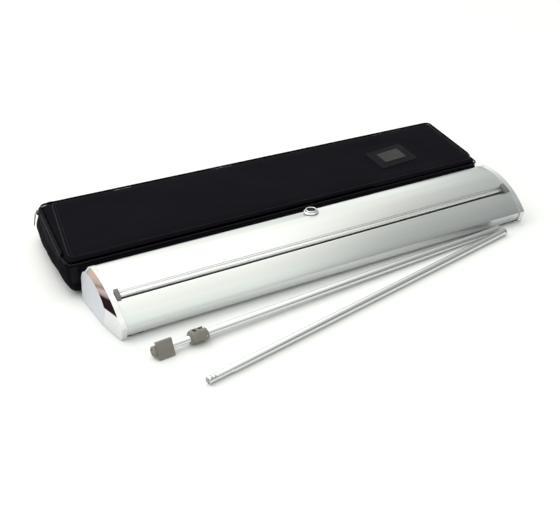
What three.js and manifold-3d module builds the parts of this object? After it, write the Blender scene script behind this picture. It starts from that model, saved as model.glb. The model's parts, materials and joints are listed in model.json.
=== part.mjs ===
// Roll-up banner stand kit: a cassette base with the banner rolled in, a two-piece pole and a padded
// carry bag, laid out on the floor. Millimetres, +Z up. X runs along the base, +Y is the rear.
// The kit's origin is the centre of the floor area that it covers.
import * as THREE from 'three';
import { mergeVertices } from 'three/addons/utils/BufferGeometryUtils.js';
import Module from 'manifold-3d';

const wasm = await Module();
wasm.setup();

// ---------------------------------------------------------------- driving dimensions

// Base: overall size and the section of its casing, a long front arc and a tight rear arc
const BASE_LENGTH = 860;
const RIM_HALF = 422.6; // half distance between the rims of the two end caps
const CASING_HALF = 412.3; // half length of the casing extrusion
const APEX_Y = 35.5; // where the two arcs meet
const APEX_Z = 78.2;
const FRONT_ARC_R = 147;
const FRONT_ARC_END = THREE.MathUtils.degToRad(141); // angle of the front kink
const REAR_ARC_R = 46;
const REAR_FOOT_Y = 84;
const FRONT_FOOT_Y = -73;
const FACE_FRONT_FOOT_Y = -16; // the flat outer face of an end cap is shorter than its rim
const FACE_REAR_FOOT_Y = 80;
const CAP_LIP_REACH = 7.6; // how far an end cap's front lip reaches in under the casing
const CAP_LIP_REAR_Y = -52;
const CAP_LIP_THICK = 2.8;
const CAP_BOTTOM = 1;
const CASING_BOTTOM = 7;
const RIM_PROUD = 1.2; // how far the end caps stand out past the casing
const WALL = 1.8;

// Banner slot and top rail
const SLOT_FRONT_Y = -41.5;
const SLOT_REAR_Y = -27.5;
const LIP_DEPTH = 8;
const RAIL_HALF = 402.5;
const RAIL_CAP_LENGTH = 7;
const RAIL_SHIFT = -2.2; // the rail sits a little to the left in its slot
const RAIL_FRONT_Y = -37.2;
const RAIL_PROUD = 1.4;
const RAIL_BOTTOM = 47;
const WEB_Y = -32;
const WEB_THICK = 0.4;

// Roller, banner roll and spring
const ROLLER_Y = -11.2;
const ROLLER_Z = 34;
const ROLLER_HALF = 404;
const ROLLER_R = 14;
const ROLLER_BORE_R = 12.8;
const ROLL_R = 20.4;
const BANNER_HALF = 399;
const SPINDLE_R = 4;
const SPINDLE_END_X = -150;

// Pole socket
const SOCKET_Y = 38;
const SOCKET_BORE_R = 8.25;
const SOCKET_TUBE_R = 10;
const SOCKET_FLANGE_R = 14;
const SOCKET_TOP = 83;

// Poles
const POLE_R = 7;
const POLE_BORE_R = 6.1;
const UPPER_END = [351.5, -86];
const UPPER_YAW = THREE.MathUtils.degToRad(4.35);
const UPPER_PITCH = 0.0063; // the head is taller than the tube, so the pole lies slightly nose-up
const UPPER_LENGTH = 670;
const LOCK_LENGTH = 31.5;
const LOCK_R = 9.5;
const INNER_R = 5.8;
const INNER_BORE_R = 5;
const INNER_START = -744;
const INNER_END = -62;
const HEAD_START = -748.5;
const HEAD_LENGTH = 27.5;
const HEAD_TALL = 28.4;
const HEAD_FACE = 8.5; // distance of the head plate's front face from the pole's axis
const HEAD_PLATE = 5;
const HEAD_HUB_R = 8.6;
const HEAD_LEAN = THREE.MathUtils.degToRad(24); // the head lies leaning back on its lower edge
const LOWER_END = [349, -101.7];
const LOWER_YAW = THREE.MathUtils.degToRad(11.55);
const LOWER_LENGTH = 722;
const SPIGOT_LENGTH = 46;
const SPIGOT_R = 6;

// Bag: corners of its plan at three heights, front left, front right, rear right, rear left
const BAG_BULGE = [[-450, 88], [447, 86], [514, 336], [-421, 356]];
const BAG_RIM = [[-447, 97], [449, 94], [507, 330], [-412, 348]];
const BAG_TOP = [[-437, 107], [440, 102], [491, 314], [-391, 333]];
const BAG_RIM_Z = 61;
const BAG_TOP_Z = 70;
const BAG_WALL = 7;
const BAG_CORNER_R = 17;

// ---------------------------------------------------------------- materials

function finish(colour, roughness, metalness) {
  return new THREE.MeshStandardMaterial({ color: colour, roughness, metalness });
}

const MATERIALS = {
  anodised: () => finish(0xc9cccb, 0.32, 0.9),
  chrome: () => finish(0xe6e8ea, 0.06, 1),
  steel: () => finish(0x9a9c9f, 0.4, 0.9),
  springSteel: () => finish(0x5c6066, 0.35, 0.9),
  greyPlastic: () => finish(0x6b6660, 0.55, 0),
  darkPlastic: () => finish(0x2a2a2c, 0.6, 0),
  rubber: () => finish(0x161616, 0.85, 0),
  banner: () => finish(0xf2f2f0, 0.6, 0),
  felt: () => finish(0x202022, 0.95, 0),
  nylon: () => finish(0x17171b, 0.9, 0),
  webbing: () => finish(0x1d1d22, 0.85, 0),
  zip: () => finish(0x101012, 0.6, 0),
  pull: () => finish(0xb8b8b8, 0.3, 0.9),
  clearVinyl: () => finish(0x5a5c60, 0.15, 0),
};

// ---------------------------------------------------------------- solid helpers

const X_AXIS = new THREE.Vector3(1, 0, 0);
const Y_AXIS = new THREE.Vector3(0, 1, 0);
const Z_AXIS = new THREE.Vector3(0, 0, 1);

function toSolid(geometry) {
  const bare = geometry.clone();
  bare.deleteAttribute('normal');
  bare.deleteAttribute('uv');
  const merged = mergeVertices(bare, 1e-4);
  const vertProperties = new Float32Array(merged.attributes.position.array);
  const triVerts = new Uint32Array(merged.index.array);
  return new wasm.Manifold(new wasm.Mesh({ numProp: 3, vertProperties, triVerts }));
}

function toGeometry(solid) {
  const mesh = solid.getMesh();
  const geometry = new THREE.BufferGeometry();
  geometry.setAttribute('position', new THREE.BufferAttribute(new Float32Array(mesh.vertProperties), 3));
  geometry.setIndex(Array.from(mesh.triVerts));
  geometry.computeVertexNormals();
  return geometry;
}

function cut(base, ...tools) {
  return toGeometry(tools.reduce((solid, tool) => solid.subtract(toSolid(tool)), toSolid(base)));
}

function join(base, ...others) {
  return toGeometry(others.reduce((solid, other) => solid.add(toSolid(other)), toSolid(base)));
}

// A block between two corners
function block([x0, y0, z0], [x1, y1, z1]) {
  const geometry = new THREE.BoxGeometry(x1 - x0, y1 - y0, z1 - z0);
  return geometry.translate((x0 + x1) / 2, (y0 + y1) / 2, (z0 + z1) / 2);
}

// A (y, z) outline extruded along X
function extrudeX(outline, x0, x1) {
  const shape = new THREE.Shape(outline.map(([y, z]) => new THREE.Vector2(y, z)));
  const geometry = new THREE.ExtrudeGeometry(shape, { depth: x1 - x0, bevelEnabled: false });
  geometry.applyMatrix4(new THREE.Matrix4().makeBasis(Y_AXIS, Z_AXIS, X_AXIS));
  return geometry.translate(x0, 0, 0);
}

// An (x, z) outline extruded along Y
function extrudeY(outline, y0, y1) {
  const shape = new THREE.Shape(outline.map(([x, z]) => new THREE.Vector2(x, z)));
  const geometry = new THREE.ExtrudeGeometry(shape, { depth: y1 - y0, bevelEnabled: false });
  geometry.applyMatrix4(new THREE.Matrix4().makeBasis(X_AXIS, Z_AXIS, new THREE.Vector3(0, -1, 0)));
  return geometry.translate(0, y1, 0);
}

// A rod or pin along X
function rodX(radius, x0, x1, sides = 24) {
  const geometry = new THREE.CylinderGeometry(radius, radius, x1 - x0, sides);
  return geometry.rotateZ(Math.PI / 2).translate((x0 + x1) / 2, 0, 0);
}

// A rod or pin along Y
function rodY(radius, y0, y1, sides = 20) {
  const geometry = new THREE.CylinderGeometry(radius, radius, y1 - y0, sides);
  return geometry.translate(0, (y0 + y1) / 2, 0);
}

// A closed (radius, height) profile turned about Z
function turnZ(profile, sides = 32) {
  const closed = [...profile, profile[0]];
  const geometry = new THREE.LatheGeometry(closed.map(([r, z]) => new THREE.Vector2(r, z)), sides);
  return facingOut(geometry.rotateX(Math.PI / 2));
}

// A closed (radius, x) profile turned about X
function turnX(profile, sides = 28) {
  return turnZ(profile, sides).rotateY(Math.PI / 2);
}

// A solid through rings of points with equal counts, its two ends closed flat
function loft(rings) {
  const count = rings[0].length;
  const positions = rings.flat(2);
  const index = [];
  for (let ring = 0; ring < rings.length - 1; ring += 1) {
    for (let i = 0; i < count; i += 1) {
      const a = ring * count + i;
      const b = ring * count + ((i + 1) % count);
      index.push(a, b, b + count, a, b + count, a + count);
    }
  }
  const last = (rings.length - 1) * count;
  for (let i = 1; i < count - 1; i += 1) {
    index.push(0, i + 1, i);
    index.push(last, last + i, last + i + 1);
  }
  const geometry = new THREE.BufferGeometry();
  geometry.setAttribute('position', new THREE.Float32BufferAttribute(positions, 3));
  geometry.setIndex(index);
  return facingOut(geometry);
}

// Turns every face over when the solid is inside out
function facingOut(geometry) {
  const p = geometry.attributes.position;
  const index = Array.from(geometry.index.array);
  const [a, b, c] = [new THREE.Vector3(), new THREE.Vector3(), new THREE.Vector3()];
  let volume = 0;
  for (let i = 0; i < index.length; i += 3) {
    a.fromBufferAttribute(p, index[i]);
    b.fromBufferAttribute(p, index[i + 1]);
    c.fromBufferAttribute(p, index[i + 2]);
    volume += a.dot(b.cross(c));
  }
  if (volume < 0) index.reverse();
  geometry.setIndex(index);
  geometry.computeVertexNormals();
  return geometry;
}

// ---------------------------------------------------------------- outlines

// Points along an elliptical arc in (y, z)
function arc([cy, cz], [ry, rz], from, to, steps) {
  return Array.from({ length: steps + 1 }, (_, i) => {
    const angle = from + ((to - from) * i) / steps;
    return [cy + ry * Math.cos(angle), cz + rz * Math.sin(angle)];
  });
}

// The rim of an end cap: flat foot, upright rear, rear arc, long front arc, short front wall
function rimOutline(bottom) {
  const kinkY = APEX_Y + FRONT_ARC_R * Math.cos(FRONT_ARC_END);
  const kinkZ = APEX_Z - FRONT_ARC_R + FRONT_ARC_R * Math.sin(FRONT_ARC_END);
  const along = (bottom - CAP_BOTTOM) / (kinkZ - CAP_BOTTOM);
  const rearAlong = (bottom - CAP_BOTTOM) / (APEX_Z - REAR_ARC_R - CAP_BOTTOM);
  return [
    [FRONT_FOOT_Y + (kinkY - FRONT_FOOT_Y) * along, bottom],
    [REAR_FOOT_Y + (APEX_Y + REAR_ARC_R - REAR_FOOT_Y) * rearAlong, bottom],
    ...arc([APEX_Y, APEX_Z - REAR_ARC_R], [REAR_ARC_R, REAR_ARC_R], 0, Math.PI / 2, 10),
    ...arc([APEX_Y, APEX_Z - FRONT_ARC_R], [FRONT_ARC_R, FRONT_ARC_R], Math.PI / 2, FRONT_ARC_END, 20).slice(1),
  ];
}

// The flat outer face of an end cap, point for point with rimOutline
function faceOutline() {
  const centre = [40, 14];
  const frontEnd = THREE.MathUtils.degToRad(160.4);
  return [
    [FACE_FRONT_FOOT_Y, CAP_BOTTOM],
    [FACE_REAR_FOOT_Y, CAP_BOTTOM],
    ...arc([40, 36], [35.5, 34], 0, Math.PI / 2, 10),
    ...arc(centre, [76, 56], Math.PI / 2, frontEnd, 20).slice(1),
  ];
}

// A convex counter-clockwise outline moved inwards by a distance
function inset(outline, distance) {
  const count = outline.length;
  const edges = outline.map(([y, z], i) => {
    const [ny, nz] = outline[(i + 1) % count];
    const length = Math.hypot(ny - y, nz - z);
    const dir = [(ny - y) / length, (nz - z) / length];
    return { point: [y - dir[1] * distance, z + dir[0] * distance], dir };
  });
  return edges.map((edge, i) => {
    const before = edges[(i + count - 1) % count];
    const cross = before.dir[0] * edge.dir[1] - before.dir[1] * edge.dir[0];
    if (Math.abs(cross) < 1e-6) return edge.point;
    const dy = edge.point[0] - before.point[0];
    const dz = edge.point[1] - before.point[1];
    const t = (dy * edge.dir[1] - dz * edge.dir[0]) / cross;
    return [before.point[0] + before.dir[0] * t, before.point[1] + before.dir[1] * t];
  });
}

// Height of the casing's outer surface on its front arc
function casingTop(y) {
  const radius = FRONT_ARC_R - RIM_PROUD;
  return APEX_Z - FRONT_ARC_R + Math.sqrt(radius ** 2 - (y - APEX_Y) ** 2);
}

// A four-cornered plan with rounded corners at one height, as points [x, y, z]
function roundedPlan(corners, radius, z, steps = 5) {
  const points = [];
  corners.forEach((corner, i) => {
    const here = new THREE.Vector2(...corner);
    const toBefore = new THREE.Vector2(...corners[(i + 3) % 4]).sub(here).normalize();
    const toNext = new THREE.Vector2(...corners[(i + 1) % 4]).sub(here).normalize();
    const start = here.clone().addScaledVector(toBefore, radius);
    const end = here.clone().addScaledVector(toNext, radius);
    const curve = new THREE.QuadraticBezierCurve(start, here, end);
    curve.getPoints(steps).forEach((p) => points.push([p.x, p.y, z]));
  });
  return points;
}

// Corners of a plan moved inwards by a distance
function shrinkPlan(corners, distance) {
  return inset(corners, distance);
}

// ---------------------------------------------------------------- scene

const kit = new THREE.Group();

function part(name, geometry, material, parent = kit) {
  const mesh = new THREE.Mesh(geometry, MATERIALS[material]());
  mesh.name = name;
  parent.add(mesh);
  return mesh;
}

// ---------------------------------------------------------------- base

const base = new THREE.Group();
kit.add(base);

// Places of the screws that hold the bearing plates, in the casing's three screw bosses
const BOSSES = [[-65, 21], [68, 15], [63, 54]];
const BOSS_R = 4.4;
const BOSS_HOLE_R = 1.75;

function at(geometry, y, z) {
  return geometry.translate(0, y, z);
}

function buildCasing() {
  const outer = inset(rimOutline(CASING_BOTTOM - RIM_PROUD), RIM_PROUD);
  const inner = inset(outer, WALL);
  const shell = cut(extrudeX(outer, -CASING_HALF, CASING_HALF), extrudeX(inner, -500, 500));
  const lips = [SLOT_FRONT_Y - WALL, SLOT_REAR_Y].map((y) => extrudeX([
    [y, casingTop(y) - LIP_DEPTH],
    [y + WALL, casingTop(y + WALL) - LIP_DEPTH],
    [y + WALL, casingTop(y + WALL) - 0.5],
    [y, casingTop(y) - 0.5],
  ], -CASING_HALF, CASING_HALF));
  const bosses = BOSSES.map(([y, z]) => at(rodX(BOSS_R, -CASING_HALF, CASING_HALF, 12), y, z));
  const ribs = [
    block([-CASING_HALF, -82, 19], [CASING_HALF, -67, 23]),
    block([-CASING_HALF, 70, 13], [CASING_HALF, 84, 17]),
    extrudeX([[64, 51], [78, 55], [76, 60], [62, 56]], -CASING_HALF, CASING_HALF),
  ];
  const inside = toSolid(extrudeX(inset(outer, WALL / 2), -CASING_HALF, CASING_HALF));
  const ribsInside = ribs.map((rib) => toGeometry(toSolid(rib).intersect(inside)));
  const screwHoles = BOSSES.map(([y, z]) => at(rodX(BOSS_HOLE_R, -500, 500, 12), y, z));
  const slot = block([-500, SLOT_FRONT_Y, 40], [500, SLOT_REAR_Y, 80]);
  const socketHole = new THREE.CylinderGeometry(SOCKET_TUBE_R + 0.4, SOCKET_TUBE_R + 0.4, 30, 28);
  socketHole.rotateX(Math.PI / 2).translate(0, SOCKET_Y, 75);
  return cut(join(shell, ...lips, ...bosses, ...ribsInside), slot, socketHole, ...screwHoles);
}

part('casing', buildCasing(), 'anodised', base);

function buildEndCap(side) {
  const rim = rimOutline(CAP_BOTTOM);
  const ring = (outline, x) => outline.map(([y, z]) => [side * x, y, z]);
  const innerX = CASING_HALF + 0.4;
  const outer = loft([ring(faceOutline(), BASE_LENGTH / 2), ring(rim, RIM_HALF), ring(rim, innerX)]);
  const hollow = inset(rim, 3.2);
  const cavity = loft([ring(hollow, RIM_HALF - 3), ring(hollow, innerX - 5)]);
  const [lipFrom, lipTo] = [innerX - CAP_LIP_REACH, innerX + 1].map((x) => side * x).sort((a, b) => a - b);
  const lip = block(
    [lipFrom, FRONT_FOOT_Y + 0.4, CAP_BOTTOM],
    [lipTo, CAP_LIP_REAR_Y, CAP_BOTTOM + CAP_LIP_THICK],
  );
  return cut(join(outer, lip), cavity);
}

function buildBearingPlate(side) {
  const outline = inset(rimOutline(CAP_BOTTOM), 4.2);
  const x0 = side > 0 ? CASING_HALF + 0.4 : -CASING_HALF - 3.4;
  const plate = extrudeX(outline, x0, x0 + 3);
  const holes = BOSSES.map(([y, z]) => at(rodX(2.1, -500, 500, 12), y, z));
  return cut(plate, at(rodX(SPINDLE_R + 0.3, -500, 500, 20), ROLLER_Y, ROLLER_Z), ...holes);
}

function buildPlateScrew() {
  const profile = [[0, -10], [1.4, -10], [1.4, 0], [3.6, 0], [3.4, 1.4], [2, 2.2], [0, 2.2]];
  return turnX(profile, 14);
}

for (const [side, label] of [[-1, 'left'], [1, 'right']]) {
  part(`end_cap_${label}`, buildEndCap(side), 'chrome', base);
  part(`bearing_plate_${label}`, buildBearingPlate(side), 'steel', base);
  BOSSES.forEach(([y, z], i) => {
    const spot = ['front', 'rear', 'upper'][i];
    const screw = part(`plate_screw_${label}_${spot}`, buildPlateScrew(), 'steel', base);
    screw.position.set(side * (CASING_HALF + 3.7), y, z);
    if (side < 0) screw.rotation.z = Math.PI;
  });
}

// Rubber feet under the casing's corners
const FOOT_HEIGHT = CASING_BOTTOM - 0.3;
for (const [x, y, label] of [
  [-386, -54, 'front_left'], [386, -54, 'front_right'], [-386, 58, 'rear_left'], [386, 58, 'rear_right'],
]) {
  const foot = turnZ([[0, 0], [11, 0], [12, 1], [12, FOOT_HEIGHT - 0.6], [11.4, FOOT_HEIGHT], [0, FOOT_HEIGHT]], 24);
  part(`foot_${label}`, foot, 'rubber', base).position.set(x, y, 0);
}

// Pole socket: a chromed ring on the casing and a closed tube under it
function buildSocketRing() {
  const profile = [
    [SOCKET_BORE_R, 66], [SOCKET_FLANGE_R, 66], [SOCKET_FLANGE_R, 78.6], [SOCKET_FLANGE_R - 0.8, 79.4],
    [11.6, 79.8], [11.2, 80.4], [11, SOCKET_TOP - 1], [10.2, SOCKET_TOP], [SOCKET_BORE_R + 0.6, SOCKET_TOP],
    [SOCKET_BORE_R, SOCKET_TOP - 0.6],
  ];
  const ring = turnZ(profile, 36).translate(0, SOCKET_Y, 0);
  const surface = inset(rimOutline(CASING_BOTTOM), RIM_PROUD - 0.3);
  return cut(ring, extrudeX(surface, -30, 30));
}

function buildSocketTube() {
  const floor = CASING_BOTTOM + WALL + 0.3;
  const top = 73.4;
  const r = SOCKET_TUBE_R;
  const profile = [[0, floor], [r, floor], [r, top], [SOCKET_BORE_R, top], [SOCKET_BORE_R, floor + 3], [0, floor + 3]];
  return turnZ(profile, 28).translate(0, SOCKET_Y, 0);
}

part('socket_ring', buildSocketRing(), 'chrome', base);
part('socket_tube', buildSocketTube(), 'steel', base);

// Felt strip that wipes the banner, on the slot's front lip
const feltTop = casingTop(SLOT_FRONT_Y) - 2.4;
part('wiper_felt', block(
  [RAIL_SHIFT - BANNER_HALF, SLOT_FRONT_Y + 0.3, feltTop - 5],
  [RAIL_SHIFT + BANNER_HALF, SLOT_FRONT_Y + 1.8, feltTop],
), 'felt', base);

// Fixed spindle with the torsion spring that winds the banner back in
const roller = new THREE.Group();
roller.position.set(0, ROLLER_Y, ROLLER_Z);
base.add(roller);

class Helix extends THREE.Curve {
  constructor(radius, x0, x1, turns) {
    super();
    Object.assign(this, { radius, x0, x1, turns });
  }

  getPoint(t, target = new THREE.Vector3()) {
    const angle = 2 * Math.PI * this.turns * t;
    const x = this.x0 + (this.x1 - this.x0) * t;
    return target.set(x, this.radius * Math.cos(angle), this.radius * Math.sin(angle));
  }
}

function buildSpring() {
  const turns = 14;
  const wire = new THREE.Shape(Array.from({ length: 4 }, (_, i) => {
    const angle = (Math.PI * i) / 2;
    return new THREE.Vector2(0.9 * Math.cos(angle), 0.9 * Math.sin(angle));
  }));
  const path = new Helix(8.4, -384, SPINDLE_END_X - 21, turns);
  return new THREE.ExtrudeGeometry(wire, { steps: turns * 8, extrudePath: path, bevelEnabled: false });
}

part('spindle', rodX(SPINDLE_R, -CASING_HALF - 6, SPINDLE_END_X, 16), 'steel', roller);
part('torsion_spring', buildSpring(), 'springSteel', roller);
part('spring_collar', turnX([
  [SPINDLE_R + 0.2, SPINDLE_END_X - 18], [10, SPINDLE_END_X - 18], [10, SPINDLE_END_X - 6],
  [SPINDLE_R + 0.2, SPINDLE_END_X - 6],
], 20), 'darkPlastic', roller);

// Roller with the banner wound on it
function buildRollerPlug(withPin) {
  const bore = SPINDLE_R + 0.1;
  const body = [[ROLLER_BORE_R - 0.2, 16], [ROLLER_BORE_R - 0.2, 0], [ROLLER_R - 0.2, -0.3], [ROLLER_R - 0.2, -2.6]];
  if (withPin) return turnX([[0, 16], ...body, [6, -4.5], [SPINDLE_R, -4.5], [SPINDLE_R, -13], [0, -13]], 24);
  return turnX([[bore, 16], ...body, [bore, -2.6]], 24);
}

part('roller_tube', turnX([
  [ROLLER_BORE_R, -ROLLER_HALF], [ROLLER_R, -ROLLER_HALF], [ROLLER_R, ROLLER_HALF], [ROLLER_BORE_R, ROLLER_HALF],
]), 'anodised', roller);
part('banner_roll', turnX([
  [ROLLER_R + 0.2, -BANNER_HALF], [ROLL_R, -BANNER_HALF], [ROLL_R, BANNER_HALF], [ROLLER_R + 0.2, BANNER_HALF],
], 36), 'banner', roller);
part('roller_plug_left', buildRollerPlug(false), 'darkPlastic', roller).position.x = -ROLLER_HALF - 0.2;
const rightPlug = part('roller_plug_right', buildRollerPlug(true), 'darkPlastic', roller);
rightPlug.position.x = ROLLER_HALF + 0.2;
rightPlug.rotation.z = Math.PI;

// ---------------------------------------------------------------- top rail and web

const topRail = new THREE.Group();
topRail.position.x = RAIL_SHIFT;
kit.add(topRail);

// One half of the rail; the edges named by their widths are bevelled at the top
function jaw(yFront, yRear, frontBevel, rearBevel) {
  const top = (y, drop) => [y, casingTop(y) + RAIL_PROUD - drop];
  return extrudeX([
    [yFront, RAIL_BOTTOM], [yRear, RAIL_BOTTOM],
    top(yRear, 1.6), top(yRear - rearBevel, 0), top(yFront + frontBevel, 0), top(yFront, 1.6),
  ], -RAIL_HALF, RAIL_HALF);
}

function buildRailCap(side) {
  const stemFront = SLOT_FRONT_Y + 0.9;
  const stemRear = SLOT_REAR_Y - 0.7;
  const over = (y, height) => [y, casingTop(y) + height];
  const stem = [[stemFront, RAIL_BOTTOM], [stemRear, RAIL_BOTTOM], over(stemRear, 1), over(stemFront, 1)];
  const head = [
    over(SLOT_FRONT_Y - 1.7, 0.7), over(SLOT_REAR_Y + 1.1, 0.7), over(SLOT_REAR_Y + 1.1, 4.6),
    over(SLOT_REAR_Y - 1.5, 6.6), over(SLOT_FRONT_Y + 1, 6.6), over(SLOT_FRONT_Y - 1.7, 4.2),
  ];
  const x0 = side > 0 ? RAIL_HALF + 0.3 : -RAIL_HALF - 0.3 - RAIL_CAP_LENGTH;
  return join(extrudeX(stem, x0, x0 + RAIL_CAP_LENGTH), extrudeX(head, x0, x0 + RAIL_CAP_LENGTH));
}

part('rail_front_jaw', jaw(RAIL_FRONT_Y, WEB_Y - 0.5, 0.4, 0.8), 'anodised', topRail);
part('rail_rear_jaw', jaw(WEB_Y + 0.5, SLOT_REAR_Y - 0.8, 0.5, 0.8), 'anodised', topRail);
part('rail_cap_left', buildRailCap(-1), 'greyPlastic', topRail);
part('rail_cap_right', buildRailCap(1), 'greyPlastic', topRail);
part('banner_web', block(
  [-BANNER_HALF, WEB_Y - WEB_THICK / 2, ROLLER_Z], [BANNER_HALF, WEB_Y + WEB_THICK / 2, casingTop(WEB_Y) - 2],
), 'banner', topRail);

// ---------------------------------------------------------------- upper pole

// In each pole's own frame X runs along the axis and 0 is its right end
const upperPole = new THREE.Group();
upperPole.position.set(UPPER_END[0], UPPER_END[1], POLE_R + 0.05);
upperPole.rotation.set(0, UPPER_PITCH, UPPER_YAW, 'ZYX');
kit.add(upperPole);

const LOCK_START = -UPPER_LENGTH - 19;
const LEVER_PIVOT = [-663.5, 3];
const HOOD_IN_R = 10.3;
const HOOD_OUT_R = 13;

part('upper_tube', turnX([
  [POLE_BORE_R, -UPPER_LENGTH], [POLE_R, -UPPER_LENGTH], [POLE_R, 0], [POLE_BORE_R, 0],
]), 'anodised', upperPole);

function buildLockCollar() {
  const end = LOCK_START + LOCK_LENGTH;
  const seat = -UPPER_LENGTH - 0.3;
  const collar = turnX([
    [INNER_R + 0.3, LOCK_START], [LOCK_R - 1, LOCK_START], [LOCK_R, LOCK_START + 1], [LOCK_R, end - 1.2],
    [LOCK_R - 1.2, end], [POLE_R + 0.3, end], [POLE_R + 0.3, seat], [INNER_R + 0.3, seat],
  ]);
  const pinHoles = [-1, 1].map((s) => {
    const [y0, y1] = s > 0 ? [7.9, 20] : [-20, -7.9];
    return rodY(1.6, y0, y1).translate(LEVER_PIVOT[0], 0, LEVER_PIVOT[1]);
  });
  const split = block([LOCK_START - 1, -0.8, -12], [LOCK_START + 15, 0.8, -5]);
  return cut(collar, ...pinHoles, split);
}

function buildLockLever() {
  const x0 = LOCK_START + 2;
  const x1 = LEVER_PIVOT[0] + 4;
  const shell = turnX([[HOOD_IN_R, x0], [HOOD_OUT_R - 2, x0], [HOOD_OUT_R, x0 + 4], [HOOD_OUT_R, x1], [HOOD_IN_R, x1]], 36);
  const below = block([x0 - 5, -20, -20], [x1 + 5, 20, -1.6]);
  const pivotRelief = block([LEVER_PIVOT[0] - 9, -9.9, -20], [x1 + 5, 9.9, 20]);
  const fingerGap = block([x0 + 4, -4.5, 5], [x0 + 10, 4.5, 20]);
  const pinHole = rodY(1.6, -20, 20).translate(LEVER_PIVOT[0], 0, LEVER_PIVOT[1]);
  return cut(shell, below, pivotRelief, fingerGap, pinHole);
}

part('lock_collar', buildLockCollar(), 'greyPlastic', upperPole);
part('lock_lever', buildLockLever(), 'greyPlastic', upperPole);
for (const [y0, y1, label] of [[-12.6, -8.1, 'front'], [8.1, 12.6, 'rear']]) {
  const pin = part(`lever_pin_${label}`, rodY(1.5, y0, y1, 16), 'steel', upperPole);
  pin.position.set(LEVER_PIVOT[0], 0, LEVER_PIVOT[1]);
}

// Inner tube with the head that hooks under the top rail
const innerPole = new THREE.Group();
upperPole.add(innerPole);

part('inner_tube', turnX([
  [INNER_BORE_R, INNER_START], [INNER_R, INNER_START], [INNER_R, INNER_END], [INNER_BORE_R, INNER_END],
]), 'anodised', innerPole);

function buildHeadBlock() {
  const t = HEAD_TALL / 2;
  const c = 1.2;
  const [y0, y1] = [-HEAD_FACE, -HEAD_FACE + HEAD_PLATE];
  const outline = [[y0 + c, -t], [y1, -t], [y1, t], [y0 + c, t], [y0, t - c], [y0, -t + c]];
  const end = HEAD_START + HEAD_LENGTH;
  const plateAndHub = join(extrudeX(outline, HEAD_START, end), rodX(HEAD_HUB_R, HEAD_START, end - 1.5));
  const bore = rodX(INNER_R + 0.3, INNER_START - 0.3, end + 5, 28);
  const screwHole = rodY(1.9, 0, 20, 12).translate(HEAD_START + 18, 0, 0);
  return cut(plateAndHub, bore, screwHole);
}

function buildHeadBoss() {
  const boss = turnX([[0, -5], [7.4, -5], [8.6, -4], [8.6, 0], [0, 0]], 24);
  const pockets = [-3.4, 3.4].map((z) => rodX(2.1, -12, -1.5, 14).translate(0, 0, z));
  return cut(boss, ...pockets);
}

const head = new THREE.Group();
head.rotation.x = -HEAD_LEAN;
innerPole.add(head);
part('head_block', buildHeadBlock(), 'greyPlastic', head);
part('head_boss', buildHeadBoss(), 'greyPlastic', head).position.x = HEAD_START - 0.3;
const headScrew = rodY(1.6, INNER_R + 0.5, HEAD_HUB_R - 0.3, 12).translate(HEAD_START + 18, 0, 0);
part('head_screw', headScrew, 'steel', head);

// ---------------------------------------------------------------- lower pole

const lowerPole = new THREE.Group();
lowerPole.position.set(LOWER_END[0], LOWER_END[1], POLE_R);
lowerPole.rotation.z = LOWER_YAW;
kit.add(lowerPole);

function buildLowerTube() {
  const shoulder = -LOWER_LENGTH + SPIGOT_LENGTH;
  const bore = 5.1;
  const tip = -LOWER_LENGTH;
  return turnX([
    [bore, tip], [SPIGOT_R - 0.5, tip], [SPIGOT_R, tip + 1], [SPIGOT_R, tip + 6], [SPIGOT_R - 0.35, tip + 7],
    [SPIGOT_R - 0.35, tip + 8.5], [SPIGOT_R, tip + 9.5], [SPIGOT_R, tip + 12], [SPIGOT_R - 0.35, tip + 13],
    [SPIGOT_R - 0.35, tip + 14.5], [SPIGOT_R, tip + 15.5], [SPIGOT_R, shoulder - 2], [POLE_R, shoulder + 1],
    [POLE_R, 0], [bore, 0],
  ], 20);
}

part('lower_tube', buildLowerTube(), 'anodised', lowerPole);
part('lower_plug', turnX([[0, -14], [4.9, -14], [4.9, 0.3], [POLE_R - 0.3, 0.3], [POLE_R - 0.8, 3], [0, 3]], 24),
  'darkPlastic', lowerPole);

// ---------------------------------------------------------------- carry bag

const bag = new THREE.Group();
kit.add(bag);

function buildBagTub() {
  const outer = loft([
    roundedPlan(shrinkPlan(BAG_BULGE, 27), BAG_CORNER_R, 0),
    roundedPlan(shrinkPlan(BAG_BULGE, 12), BAG_CORNER_R, 6),
    roundedPlan(shrinkPlan(BAG_BULGE, 4), BAG_CORNER_R, 15),
    roundedPlan(BAG_BULGE, BAG_CORNER_R, 28),
    roundedPlan(BAG_RIM, BAG_CORNER_R, BAG_RIM_Z),
  ]);
  const inner = loft([
    roundedPlan(shrinkPlan(BAG_BULGE, 22), BAG_CORNER_R, 6),
    roundedPlan(shrinkPlan(BAG_BULGE, BAG_WALL + 1), BAG_CORNER_R, 28),
    roundedPlan(shrinkPlan(BAG_RIM, BAG_WALL), BAG_CORNER_R, BAG_RIM_Z + 1),
  ]);
  return cut(outer, inner);
}

function buildBagLid() {
  return loft([
    roundedPlan(BAG_RIM, BAG_CORNER_R, BAG_RIM_Z + 0.4),
    roundedPlan(shrinkPlan(BAG_RIM, 3), BAG_CORNER_R, BAG_RIM_Z + 5),
    roundedPlan(BAG_TOP, BAG_CORNER_R, BAG_TOP_Z),
  ]);
}

// Half of the zip: a strip round the right, rear and left sides, open at the front
function buildZipTape(z0, z1, gap) {
  const outer = loft([z0, z1].map((z) => roundedPlan(shrinkPlan(BAG_RIM, -3.2), BAG_CORNER_R, z)));
  const inner = loft([z0 - 1, z1 + 1].map((z) => roundedPlan(shrinkPlan(BAG_RIM, -gap), BAG_CORNER_R, z)));
  return cut(outer, inner, block([-600, 0, 0], [600, 130, 120]));
}

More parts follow.
